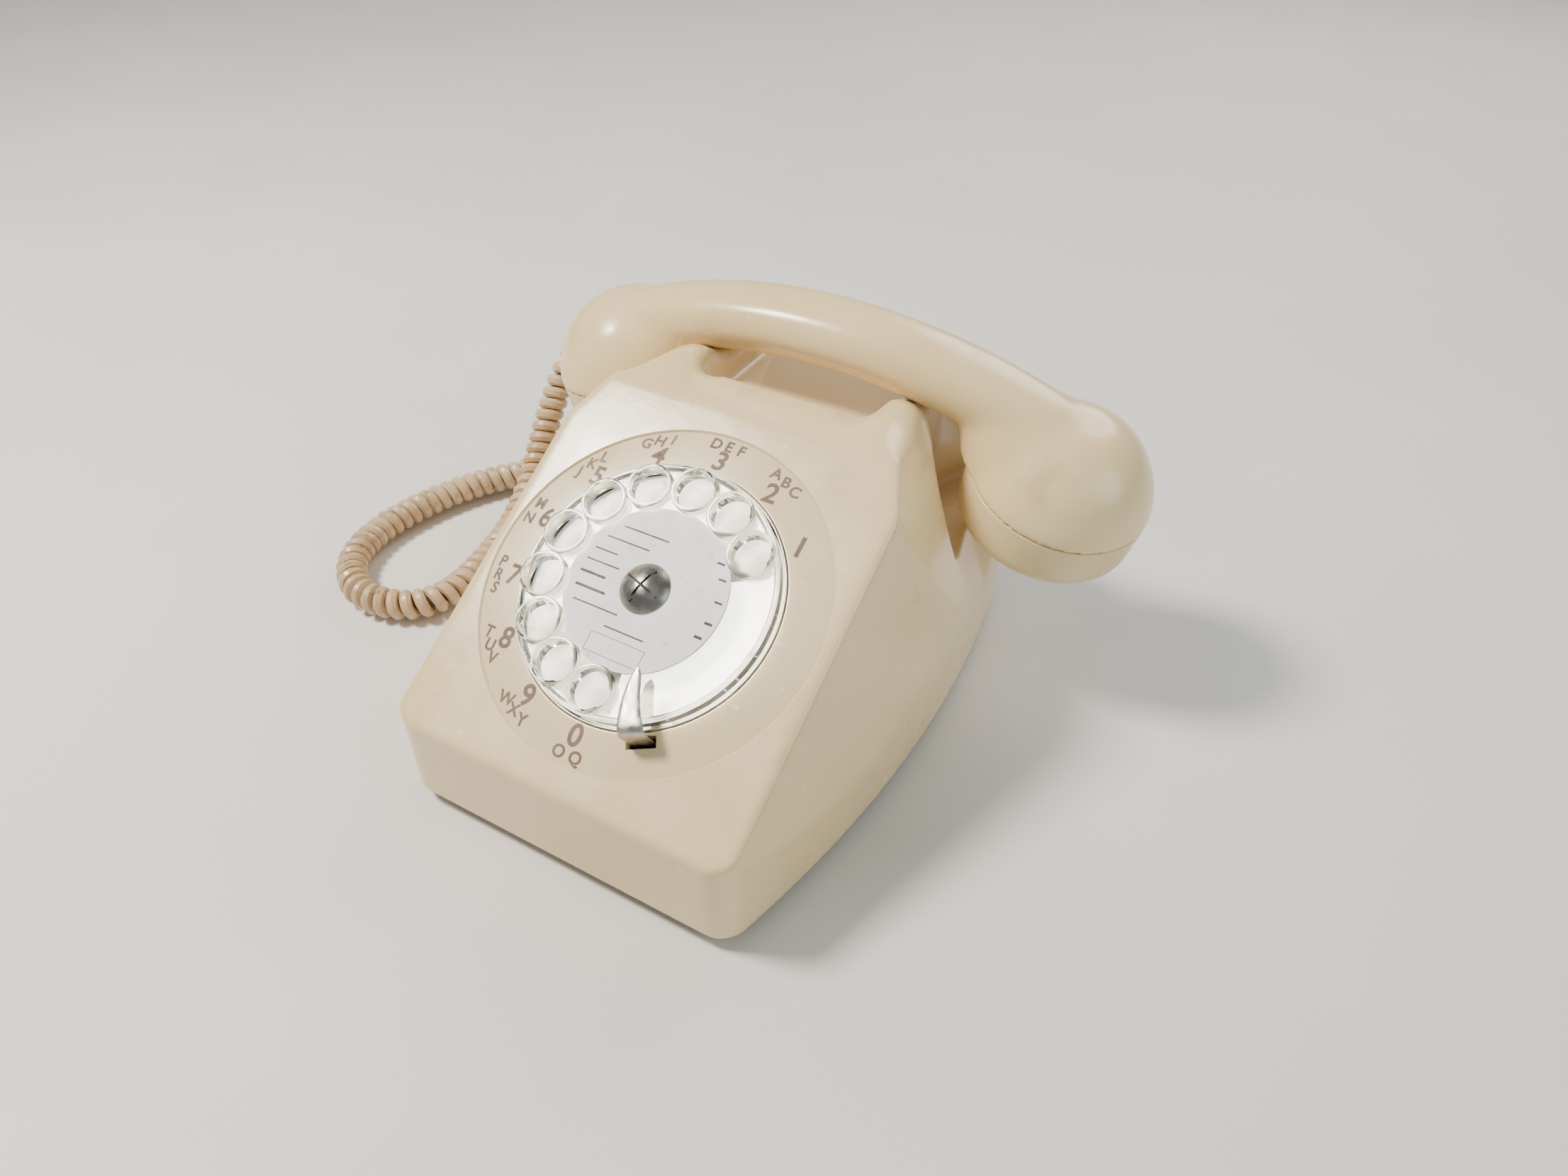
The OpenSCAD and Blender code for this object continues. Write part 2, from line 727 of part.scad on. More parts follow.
// ================= ringer =================
gong_x = 31;
gong_y = 42;
gong_z = 30;
gong_r = 23;
gong_wall = 1.2;
ringer_y = 6;
module gong(side)
    translate([side * gong_x, gong_y, gong_z])
        rotate_extrude($fn = 72)
            polygon([[2.2, 0], [gong_r * 0.5, 0], [gong_r * 0.84, -3], [gong_r, -10], [gong_r, -12.5],
                [gong_r - gong_wall, -12.5], [gong_r - gong_wall, -10.4], [gong_r * 0.84 - 0.8, -3.9],
                [gong_r * 0.5 - 0.4, -gong_wall], [2.2, -gong_wall]]);
module gong_left() color("#c4b078") gong(-1);
module gong_right() color("#c4b078") gong(1);

module gong_posts()
    color("#8f8c84")
        for (side = [-1, 1])
            translate([side * gong_x, gong_y, foot_h + plate_th]) difference() {
                cylinder(r = 4, h = gong_z - gong_wall - foot_h - plate_th);
                translate([0, 0, 8]) cylinder(r = 1.5, h = 40);
            }

module gong_screws()
    color("#b9b6ad")
        for (side = [-1, 1])
            translate([side * gong_x, gong_y, gong_z]) {
                cylinder(r = 4, h = 1.8);
                translate([0, 0, -8]) cylinder(r = 1.5, h = 8.5);
            }

module ringer_frame()
    color("#8a867c") {
        translate([-22, ringer_y - 12, foot_h + plate_th]) cube([44, 30, 1.6]);
        translate([-22, ringer_y - 12, foot_h + plate_th]) cube([44, 2, 30]);
        // pivot ears for the clapper
        for (z = [ear_low_z, ear_high_z])
            difference() {
                translate([-4, ringer_y - 12, z]) cube([8, 26, ear_t]);
                translate([0, clapper_y, z - 1]) cylinder(r = pivot_r + 0.05, h = 4);
            }
    }

clapper_y = ringer_y + 10;
ear_low_z = 11.6;
ear_high_z = 29;
ear_t = 1.6;
pivot_r = 1;
coil_x = 14;
coil_z = 24;
coil_y = ringer_y - 10;
coil_len = 14.4;
coil_flange = 1.4;
module coil_turn(x, y, r, h)
    translate([x, y, coil_z]) rotate([-90, 0, 0]) cylinder(r = r, h = h);
module ringer_coils()
    for (side = [-1, 1]) {
        color("#8c3b22") coil_turn(side * coil_x, coil_y + coil_flange, 6.5, coil_len - 2 * coil_flange);
        color("#6a655c") coil_turn(side * coil_x, coil_y, 3, coil_len + 0.6);
        color("#d9d3c3")
            for (y = [coil_y, coil_y + coil_len - coil_flange])
                coil_turn(side * coil_x, y, 7.8, coil_flange);
    }

module ringer_magnet()
    color("#55524c") translate([-6, ringer_y - 9, foot_h + plate_th + 1.6]) cube([12, 16, 4]);

clapper_z = 23;
module bell_clapper()
    color("#b9b6ad") {
        translate([0, clapper_y, ear_low_z]) cylinder(r = pivot_r, h = ear_high_z + ear_t - ear_low_z);
        translate([0, clapper_y, ear_low_z + ear_t + play])
            cylinder(r = 2, h = ear_high_z - ear_low_z - ear_t - 2 * play);
        translate([-18, clapper_y - 1, clapper_z - 4]) cube([36, 2, 8]);
        translate([-0.8, clapper_y, clapper_z - 0.8]) cube([1.6, gong_y - clapper_y - 2, 1.6]);
        translate([0, gong_y, clapper_z - 2.5]) cylinder(r = 3, h = 5);
    }

// ================= cradle switch =================
lever_y = cradle_y + 24;
lever_z = 66;
lever_t = 2;
lever_half = plunger_x - 1;
lever_pin_r = 1.5;
bracket_x = lever_half + 3;
bracket_t = 2;
bracket_depth = 10;
bracket_foot_t = 1.4;
arm_w = 6;
arm_over = 4;
arm_x = lever_half - arm_w / 4;
bridge_w = 3.2;
tail_len = 7.5;
floor_z = foot_h + plate_th;
module hook_bracket()
    color("#8a867c")
        for (side = [-1, 1])
            translate([0, lever_y - bracket_depth / 2, floor_z]) {
                translate([side * bracket_x - bracket_t / 2, 0, 0]) difference() {
                    cube([bracket_t, bracket_depth, lever_z + 4 - floor_z]);
                    translate([-1, bracket_depth / 2, lever_z - floor_z]) rotate([0, 90, 0])
                        cylinder(r = lever_pin_r + 0.05, h = bracket_t + 2);
                }
                translate([side * (bracket_x - arm_w) - arm_w, 0, 0])
                    cube([2 * arm_w, bracket_depth, bracket_foot_t]);
            }

module hook_lever()
    color("#c8c2b2") {
        translate([-lever_half - 4, lever_y, lever_z]) rotate([0, 90, 0])
            cylinder(r = lever_pin_r, h = 2 * lever_half + 8);
        for (side = [-1, 1])
            translate([side * arm_x - arm_w / 2, plunger_y - arm_over, lever_z - lever_t / 2])
                cube([arm_w, lever_y - plunger_y + arm_over, lever_t]);
        translate([-lever_half + arm_w / 2, lever_y - bridge_w - 0.8, lever_z - lever_t / 2])
            cube([2 * lever_half - arm_w, bridge_w, lever_t]);
        // tail that works the contacts
        translate([-arm_w / 2, lever_y, lever_z - lever_t / 2]) cube([arm_w, tail_len, lever_t]);
        translate([-arm_w / 2, lever_y - bridge_w, lever_z - lever_t / 2]) cube([arm_w, bridge_w, lever_t]);
    }

plunger_foot_z = lever_z + lever_t / 2 + 0.3;
module plunger(side) {
    top_z = seat_z(side * (plunger_x + plunger_r)) - play;
    translate([side * plunger_x, plunger_y, 0]) {
        translate([0, 0, plunger_foot_z]) cylinder(r = plunger_r, h = top_z - plunger_foot_z);
        translate([0, 0, plunger_low]) cylinder(r = shoulder_r, h = shoulder_t);
    }
}
module plunger_left() color("#efe9da") plunger(-1);
module plunger_right() color("#efe9da") plunger(1);

contact_block = [12, 4, 14];
contact_z = 34;
contact_out = 4.5;
leaf = [1.6, 0.5, 9];
leaf_step = 2.4;
leaf_count = 4;
leaf_z = contact_z + contact_block[2];
module hook_contacts()
    translate([0, lever_y + contact_out, 0]) {
        color("#5b2f1c") translate([-contact_block[0] / 2, 0, contact_z]) cube(contact_block);
        color("#8a867c") translate([-5, 1, floor_z]) cube([10, 2, contact_z - floor_z]);
        color("#c9a24a")
            for (i = [0:leaf_count - 1])
                translate([(i - (leaf_count - 1) / 2) * leaf_step - leaf[0] / 2, 1.6, leaf_z])
                    cube(leaf);
    }

// ================= cord and glands =================
gland_x = -30;
inlet_x = 34;
gland_z = 14;
gland_r = 5;
flange_t = 3;
module gland(x)
    translate([x, rear_y + flange_t, gland_z]) rotate([90, 0, 0]) {
        cylinder(r = gland_r + 1.8, h = flange_t);
        cylinder(r = gland_r, h = flange_t + wall + 2);
    }
module cord_gland() color("#cdbfa2") gland(gland_x);
module line_inlet()
    color("#cdbfa2") difference() {
        gland(inlet_x);
        translate([inlet_x, rear_y + 5, gland_z]) rotate([90, 0, 0]) cylinder(r = 2.4, h = 12);
    }

// coiled cord, drawn as the tube that its turns fill
cord_r = 5.6;
cord_gap = 1;
gland_len = 8;
gland_tip_r = 3;
cord_exit = [-cap_x - 22, 18, cap_z + 4];
exit_turn = [0, -123, -20];
exit_way = [sin(exit_turn[1]) * cos(exit_turn[2]), sin(exit_turn[1]) * sin(exit_turn[2]), cos(exit_turn[1])];
cord_tip = handset_point(cord_exit + (gland_len + cord_gap) * exit_way);
cord_turn = handset_point(cord_exit + (gland_len + 8) * exit_way);
cord_route = [[gland_x, rear_y + flange_t, gland_z], [gland_x, rear_y + 9, 13], [-36, 108, 9],
    [-52, 113, 6.4],
    [-80, 106, 6.2], [-106, 86, 6.2], [-128, 56, 6.2], [-143, 34, 6.2], [-151, 14, 6.2], [-154, -8, 6.2],
    [-149, -26, 6.2], [-136, -37, 6.2], [-121, -38, 6.2], [-109, -31, 6.2], [-105, -18, 6.2],
    [-107, 0, 6.2], [-111, 18, 7], [-115, 34, 13], [-118, 46, 22], [-119, 56, 34], [-118, 65, 46],
    [-115, 74, 57], cord_turn, cord_tip];
cord_sides = 10;
cord_steps = 3;

function spline(p0, p1, p2, p3, t) =
    0.5 * ((2 * p1) + (p2 - p0) * t + (2 * p0 - 5 * p1 + 4 * p2 - p3) * t * t
    + (3 * p1 - p0 - 3 * p2 + p3) * t * t * t);
function route_at(p, i, t) =
    let (n = len(p) - 1)
    spline(p[max(i - 1, 0)], p[i], p[min(i + 1, n)], p[min(i + 2, n)], t);
function ring_pts(c, dir, r) =
    let (d = unit(dir), up = abs(d[2]) > 0.9 ? [0, 1, 0] : [0, 0, 1],
         u = unit(cross(up, d)), v = cross(d, u))
    [for (k = [0:cord_sides - 1]) let (a = 360 * k / cord_sides) c + r * (cos(a) * u + sin(a) * v)];

module handset_cord() {
    n = len(cord_route) - 1;
    centres = concat(
        [for (i = [0:n - 1]) for (s = [0:cord_steps - 1]) route_at(cord_route, i, s / cord_steps)],
        [cord_route[n]]);
    last = len(centres) - 1;
    rings = [for (i = [0:last])
        ring_pts(centres[i], centres[min(i + 1, last)] - centres[max(i - 1, 0)], cord_r)];
    m = cord_sides;
    color("#b8a48a") polyhedron(
        points = [for (r = rings) for (p = r) p],
        faces = concat([[for (k = [0:m - 1]) k]],
            [for (i = [0:last - 1]) for (k = [0:m - 1])
                [i * m + k, (i + 1) * m + k, (i + 1) * m + (k + 1) % m, i * m + (k + 1) % m]],
            [[for (k = [m - 1:-1:0]) last * m + k]]));
}

// ================= handset =================
// the grip is one long arc, standing on the bowls
module grip() {
    half = [for (p = grip_section) [p[0] * grip_w / 2, p[1] * grip_h]];
    other = [for (i = [len(half) - 2:-1:1]) [-half[i][0], half[i][1]]];
    grip_sweep(grip_half_angle, concat(half, other));
}

// the grip widens into each bowl, flush with its own top line
flare_x = 51;
flare_r0 = grip_h / 2 - 0.7;
flare_r1 = 22;
module flare(side) {
    start_z = sqrt(grip_r * grip_r - flare_x * flare_x) - grip_r - grip_h / 2;
    run = cap_x - 3 - flare_x;
    fall = start_z - (cap_z + 10);
    intersection() {
        translate([side * flare_x, 0, start_z])
            rotate([0, side * (90 + atan(fall / run)), 0])
                cylinder(r1 = flare_r0, r2 = flare_r1, h = norm([run, fall]), $fn = 96);
        translate([0, 0, -grip_r]) rotate([90, 0, 0])
            cylinder(r = grip_r - 0.3, h = 4 * cap_r, center = true, $fn = 240);
        cap_frame(side) translate([-big, -big, 0]) cube(2 * big);
    }
}

dome_drop = 4;
bowl_wall = 2.6;
module bowl(inset = 0)
    rotate_extrude($fn = 96)
        intersection() {
            square([cap_r - inset, bowl_h - inset]);
            translate([0, -dome_drop]) circle(r = cap_r + 0.6 - inset, $fn = 96);
        }

module handset_solid() {
    grip();
    for (side = [-1, 1]) {
        flare(side);
        cap_frame(side) bowl();
    }
}

// the duct and its wires follow the grip's arc from bowl to bowl
duct_r = 4;
duct_arc_r = grip_r - grip_h / 2 - 0.5;
duct_half_angle = asin((cap_x - 12) / duct_arc_r);
wire_r = 0.8;
module along_grip(half_angle, offset, r)
    translate([0, offset, -grip_r])
        rotate([90, 0, 0])
            rotate([0, 0, 90 - half_angle])
                rotate_extrude(angle = 2 * half_angle, $fn = 240)
                    translate([duct_arc_r, 0]) circle(r = r, $fn = 24);
module handset_shell()
    color("#e4d6ba") at_handset() difference() {
        handset_solid();
        for (side = [-1, 1])
            cap_frame(side) translate([0, 0, -eps]) bowl(bowl_wall);
        along_grip(duct_half_angle, 0, duct_r);
        translate(cord_exit) rotate(exit_turn) translate([0, 0, -16]) cylinder(r = 2.6, h = 30);
    }

module cap(side)
    at_cap(side) difference() {
        translate([0, 0, -cap_h]) union() {
            translate([0, 0, cap_edge]) cylinder(r = cap_r, h = cap_h - cap_edge, $fn = 96);
            cylinder(r1 = cap_r - 7, r2 = cap_r, h = cap_edge, $fn = 96);
        }
        translate([0, 0, -cap_h + 2]) cylinder(r = cap_r - cap_wall - 4, h = 3.1);
        translate([0, 0, -cap_h + cap_edge]) cylinder(r = cap_r - cap_wall, h = cap_h);
        for (i = [0:5])
            rotate([0, 0, 60 * i]) translate([8, 0, -cap_h - 1]) cylinder(r = 1.6, h = 5);
        translate([0, 0, -cap_h - 1]) cylinder(r = 1.6, h = 5);
    }
module ear_cap() color("#e4d6ba") cap(1);
module mouth_cap() color("#e4d6ba") cap(-1);

capsule_r = cap_r - 5;
module capsule(side)
    at_cap(side) translate([0, 0, -cap_h + 6]) {
        cylinder(r = capsule_r, h = 9);
        translate([0, 0, 9]) cylinder(r = capsule_r * 0.6, h = 4);
    }
module receiver_capsule() color("#9a968c") capsule(1);
module transmitter_capsule() color("#7d7a72") capsule(-1);

module capsule_seals()
    color("#2b2a28")
        for (side = [-1, 1])
            at_cap(side) translate([0, 0, -cap_h + 5]) difference() {
                cylinder(r = capsule_r, h = 1);
                translate([0, 0, -1]) cylinder(r = capsule_r - 3, h = 3);
            }

module handset_wires()
    color("#7a2f28") at_handset()
        for (i = [-1, 1])
            along_grip(duct_half_angle - 2, i * (wire_r + 0.6), wire_r);

module handset_gland()
    color("#cdbfa2") at_handset() translate(cord_exit) rotate(exit_turn) {
        translate([0, 0, -5]) cylinder(r = 2.5, h = 6);
        cylinder(r1 = 4, r2 = gland_tip_r, h = gland_len);
    }

// ================= placement =================
// box of the telephone without its cord: gland tip to ear bowl, front skirt to line inlet
gland_end = handset_point(cord_exit + gland_len * exit_way)[0] - 0.6 * gland_tip_r;
bowl_end = handset_shift + cap_x + cap_r;
front_edge = front_y - front_corner * sin(slope_at(front_y + front_corner));
module placed()
    translate([-(gland_end + bowl_end) / 2, -(front_edge + rear_y + flange_t) / 2, 0])
        children();

placed() cover_shell();
placed() base_plate();
placed() rubber_feet();
placed() cover_screws();
placed() dial_plate();
placed() dial_front_plate();
placed() dial_back_plate();
placed() dial_pillars();
placed() dial_mount_screws();
placed() finger_stop();
placed() spring_barrel();
placed() pulse_contacts();
placed() governor_cup();
placed() finger_wheel();
placed() label_card();
placed() dial_screw();
placed() dial_shaft();
placed() main_gear();
placed() pinion_shaft();
placed() pulse_cam();
placed() second_gear();
placed() governor_shaft();
placed() governor_weights();
placed() circuit_board();
placed() board_screws();
placed() induction_coil();
placed() capacitor();
placed() terminal_block();
placed() ringer_frame();
placed() ringer_coils();
placed() ringer_magnet();
placed() gong_left();
placed() gong_right();
placed() gong_posts();
placed() gong_screws();
placed() bell_clapper();
placed() hook_bracket();
placed() hook_contacts();
placed() plunger_left();
placed() plunger_right();
placed() hook_lever();
placed() cord_gland();
placed() line_inlet();
placed() handset_cord();
placed() handset_shell();
placed() ear_cap();
placed() mouth_cap();
placed() receiver_capsule();
placed() transmitter_capsule();
placed() capsule_seals();
placed() handset_wires();
placed() handset_gland();
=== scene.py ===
"""Desk telephone with a finger dial: rounded mouldings, lettering, coiled cord and finishes on the CAD frame.

Shapes are worked out in millimetres and brought to metres when a piece is made.
"""

import math

import bmesh
import bpy
import numpy as np
from mathutils import Matrix, Vector


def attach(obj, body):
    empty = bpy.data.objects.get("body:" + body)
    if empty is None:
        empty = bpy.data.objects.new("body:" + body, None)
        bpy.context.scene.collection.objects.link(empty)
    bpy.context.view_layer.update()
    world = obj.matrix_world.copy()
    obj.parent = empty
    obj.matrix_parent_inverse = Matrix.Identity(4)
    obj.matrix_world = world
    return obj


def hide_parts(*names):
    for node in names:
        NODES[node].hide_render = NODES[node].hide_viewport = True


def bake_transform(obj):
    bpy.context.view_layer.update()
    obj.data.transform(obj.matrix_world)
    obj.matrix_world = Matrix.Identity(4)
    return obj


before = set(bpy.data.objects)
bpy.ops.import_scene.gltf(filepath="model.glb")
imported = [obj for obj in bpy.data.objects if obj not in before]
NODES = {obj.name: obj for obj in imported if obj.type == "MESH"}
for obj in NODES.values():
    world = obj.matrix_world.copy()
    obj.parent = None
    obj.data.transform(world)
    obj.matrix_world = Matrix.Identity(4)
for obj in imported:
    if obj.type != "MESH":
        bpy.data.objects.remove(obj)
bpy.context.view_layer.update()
MM = 0.001
# the shapes are worked out from the middle of the body, then placed as the CAD places its own
PLACED = Matrix.Translation((-3.69763, -2.63405, 0))

# ---------- shared frames, as in the CAD ----------
FACE_TILT = math.radians(30.5)
DIAL = Matrix.Translation((0, -41, 64)) @ Matrix.Rotation(FACE_TILT, 4, "X")
HANDSET_ROLL = math.radians(6)
HANDSET_SHIFT, GRIP_Y, GRIP_TOP_Z = 4.5, 54, 113
HANDSET = Matrix.Translation((HANDSET_SHIFT, GRIP_Y, GRIP_TOP_Z)) @ Matrix.Rotation(HANDSET_ROLL, 4, "X")
CAP_SPREAD = 157
CAP_DROP = 41.5
CAP_LEAN = math.radians(14)
GRIP_R, GRIP_W, GRIP_H = 200, 26, 19.5
CAP_R, CAP_H, BOWL_H, DOME_DROP, BOWL_WALL = 28.5, 20, 24, 4, 2.6


def at_cap(side):
    """Frame on the rim of a bowl, +Z into the bowl: side 1 is the ear end and -1 the mouth end."""
    place = Matrix.Translation((side * CAP_SPREAD / 2, 0, -CAP_DROP))
    return HANDSET @ place @ Matrix.Rotation(side * CAP_LEAN, 4, "Y")


# ---------- materials ----------
def linear(red, green, blue):
    """An sRGB colour of three values to 255 as linear RGBA."""
    shares = [c / 255 for c in (red, green, blue)]
    return tuple(c / 12.92 if c <= 0.04045 else ((c + 0.055) / 1.055) ** 2.4 for c in shares) + (1,)


class Finish:
    """A material built from object-space noise: mottled colour, uneven gloss and a fine relief."""

    def __init__(self, name, light, dark, gloss=(0.3, 0.45), metal=0.0, patch=40, relief=(900, 0.05)):
        self.material = bpy.data.materials.new(name)
        self.material.use_nodes = True
        self.tree = self.material.node_tree
        self.shader = self.tree.nodes["Principled BSDF"]
        self.shader.inputs["Metallic"].default_value = metal
        self.place = self.node("ShaderNodeTexCoord").outputs["Object"]
        self.colour = self.mix(self.noise(patch, 4), linear(*light), linear(*dark))
        self.rough = self.spread(self.noise(patch * 3, 5), *gloss)
        self.height = self.noise(relief[0], 3)
        self.strength = relief[1]

    def node(self, kind, **settings):
        made = self.tree.nodes.new(kind)
        for key, value in settings.items():
            setattr(made, key, value)
        return made

    def join(self, source, target):
        self.tree.links.new(source, target)

    def noise(self, scale, detail, stretch=(1, 1, 1), low=0.38, high=0.62):
        """Noise from 0 to 1, with its contrast drawn out between low and high."""
        mapping = self.node("ShaderNodeMapping")
        mapping.inputs["Scale"].default_value = stretch
        self.join(self.place, mapping.inputs["Vector"])
        noise = self.node("ShaderNodeTexNoise")
        noise.inputs["Scale"].default_value = scale
        noise.inputs["Detail"].default_value = detail
        self.join(mapping.outputs["Vector"], noise.inputs["Vector"])
        return self.spread(noise.outputs["Fac"], 0, 1, low, high)

    def spread(self, value, low, high, start=0.0, end=1.0):
        ramp = self.node("ShaderNodeMapRange", clamp=True)
        ramp.inputs["From Min"].default_value = start
        ramp.inputs["From Max"].default_value = end
        ramp.inputs["To Min"].default_value = low
        ramp.inputs["To Max"].default_value = high
        self.join(value, ramp.inputs["Value"])
        return ramp.outputs["Result"]

    def mix(self, factor, first, second):
        blend = self.node("ShaderNodeMix", data_type="RGBA")
        self.join(factor, blend.inputs["Factor"])
        for socket, value in ((blend.inputs[6], first), (blend.inputs[7], second)):
            if isinstance(value, tuple):
                socket.default_value = value
            else:
                self.join(value, socket)
        return blend.outputs[2]

    def stain(self, colour, scale, low, high, stretch=(1, 1, 1), rough=None):
        """Sparse marks of another colour where the noise is strongest, with a gloss of their own."""
        marks = self.noise(scale, 6, stretch, low, high)
        self.colour = self.mix(marks, self.colour, linear(*colour))
        if rough is not None:
            worn = self.node("ShaderNodeMix", data_type="FLOAT")
            self.join(marks, worn.inputs["Factor"])
            self.join(self.rough, worn.inputs["A"])
            worn.inputs["B"].default_value = rough
            self.rough = worn.outputs["Result"]
        return self

    def grooves(self, scale, stretch):
        """Adds stretched noise to the relief, such as brushing or turning marks."""
        extra = self.noise(scale, 4, stretch)
        total = self.node("ShaderNodeMath", operation="ADD")
        self.join(self.height, total.inputs[0])
        self.join(extra, total.inputs[1])
        self.height = total.outputs[0]
        return self

    def done(self, **sockets):
        """Connects everything and sets other shader sockets, their spaces written as underscores."""
        self.join(self.colour, self.shader.inputs["Base Color"])
        self.join(self.rough, self.shader.inputs["Roughness"])
        bump = self.node("ShaderNodeBump")
        bump.inputs["Strength"].default_value = self.strength
        bump.inputs["Distance"].default_value = 0.0004
        self.join(self.height, bump.inputs["Height"])
        self.join(bump.outputs["Normal"], self.shader.inputs["Normal"])
        for key, value in sockets.items():
            self.shader.inputs[key.replace("_", " ")].default_value = value
        return self.material


def ivory(name, light, dark):
    """Aged ivory moulding: yellowed in patches, with dull handling marks and fine dust specks."""
    finish = Finish(name, light, dark, gloss=(0.2, 0.32), patch=18, relief=(260, 0.03))
    finish.stain((205, 178, 128), 46, 0.62, 0.8)
    finish.stain((236, 222, 192), 150, 0.68, 0.76, stretch=(1, 3, 1), rough=0.5)
    finish.stain((150, 132, 104), 700, 0.72, 0.78)
    return finish.done(Subsurface_Weight=0.06, Subsurface_Scale=0.004, Coat_Weight=0.25, Coat_Roughness=0.12)


def metal(name, light, dark, gloss=(0.25, 0.45), stretch=(1, 12, 1), tarnish=(120, 108, 90)):
    """Worn metal: brushed along one way, with dull tarnish in patches."""
    finish = Finish(name, light, dark, gloss=gloss, metal=1.0, patch=120, relief=(1500, 0.08))
    finish.grooves(900, stretch)
    finish.stain(tarnish, 90, 0.58, 0.75, rough=0.6)
    return finish.done()


def moulded(name, light, dark, gloss=(0.4, 0.6), dust=(150, 145, 135)):
    """Plain moulded or laminated part with dust on it."""
    finish = Finish(name, light, dark, gloss=gloss, patch=90, relief=(1200, 0.08))
    finish.stain(dust, 260, 0.64, 0.76, rough=0.8)
    return finish.done()


def clear_plastic():
    """Clear polished plastic with faint scratches, which lets the light through to what lies under it."""
    light, dark = (246, 247, 244), (238, 238, 230)
    finish = Finish("clear_wheel", light, dark, gloss=(0.03, 0.1), patch=60, relief=(300, 0.02))
    finish.stain((225, 222, 210), 420, 0.68, 0.75, stretch=(1, 5, 1), rough=0.35)
    material = finish.done(Transmission_Weight=1.0, IOR=1.46)
    # a shadow ray passes straight through
    out = next(n for n in finish.tree.nodes if n.type == "OUTPUT_MATERIAL")
    through = finish.node("ShaderNodeBsdfTransparent")
    either = finish.node("ShaderNodeMixShader")
    finish.join(finish.node("ShaderNodeLightPath").outputs["Is Shadow Ray"], either.inputs[0])
    finish.join(finish.shader.outputs[0], either.inputs[1])
    finish.join(through.outputs[0], either.inputs[2])
    finish.join(either.outputs[0], out.inputs["Surface"])
    return material


def cord_plastic():
    """Beige flexible plastic with dirt in patches."""
    light, dark = (208, 182, 146), (190, 160, 122)
    finish = Finish("cord_plastic", light, dark, gloss=(0.3, 0.45), patch=30, relief=(900, 0.05))
    finish.stain((140, 118, 90), 220, 0.62, 0.75, rough=0.6)
    return finish.done(Subsurface_Weight=0.05, Subsurface_Scale=0.002, Coat_Weight=0.1)


IVORY = ivory("ivory_cover", (234, 208, 160), (227, 199, 147))
IVORY_RING = ivory("ivory_ring", (234, 211, 169), (227, 203, 157))
IVORY_HANDSET = ivory("ivory_handset", (235, 209, 159), (228, 199, 144))
IVORY_CAP = ivory("ivory_cap", (226, 202, 156), (215, 188, 138))
CREAM = moulded("cream_plate", (248, 245, 234), (240, 235, 220), gloss=(0.35, 0.5), dust=(190, 176, 148))
CLEAR = clear_plastic()
PAPER = moulded("printed_card", (250, 248, 248), (243, 240, 236), gloss=(0.6, 0.75), dust=(205, 196, 178))
INK = moulded("card_ink", (92, 86, 88), (66, 62, 64), gloss=(0.6, 0.8))
DIGIT = moulded("engraved_fill", (128, 104, 82), (108, 86, 66), gloss=(0.5, 0.7), dust=(176, 156, 130))
STEEL = metal("worn_steel", (205, 200, 190), (178, 172, 160))
DULL_STEEL = metal("dull_steel", (168, 163, 154), (138, 133, 124), gloss=(0.2, 0.35))
# near-black fill for the screw's cross slots: painted shade standing in for the shadow deep in the slots
SLOT_SHADE = moulded("painted_slot_shade", (46, 42, 38), (30, 28, 26), gloss=(0.6, 0.8))
ZINC = metal("zinc_plate", (198, 196, 188), (176, 173, 164), gloss=(0.35, 0.55), stretch=(6, 1, 1))
BRASS = metal("brass", (214, 186, 122), (186, 152, 84), tarnish=(120, 92, 52))
GONG = metal("gong_metal", (222, 198, 140), (196, 166, 104), gloss=(0.16, 0.3), tarnish=(132, 104, 64))
MAGNET = metal("cast_magnet", (96, 94, 90), (70, 68, 66), gloss=(0.5, 0.7))
PRESSED = metal("pressed_can", (200, 198, 192), (178, 176, 168), gloss=(0.3, 0.5))
WHITE = moulded("white_plastic", (238, 234, 222), (226, 219, 202), gloss=(0.3, 0.45))
DARK = moulded("dark_plate", (58, 57, 54), (42, 41, 39), gloss=(0.35, 0.55), dust=(92, 88, 82))
RUBBER = moulded("black_rubber", (38, 37, 36), (26, 25, 25), gloss=(0.65, 0.85), dust=(74, 70, 66))
BOARD = moulded("laminate", (78, 104, 62), (58, 84, 46), gloss=(0.3, 0.5))
COPPER = moulded("enamelled_wire", (176, 92, 52), (140, 62, 32), gloss=(0.2, 0.35))
FILM = moulded("film_wrap", (58, 86, 124), (42, 66, 100), gloss=(0.15, 0.3))
BLOCK = moulded("moulded_block", (48, 46, 43), (34, 33, 31), gloss=(0.4, 0.55))
GLAND = moulded("beige_gland", (200, 184, 154), (182, 164, 132), gloss=(0.45, 0.6))
WIRE = moulded("insulated_wire", (150, 54, 46), (120, 38, 34), gloss=(0.3, 0.5))
CORD = cord_plastic()

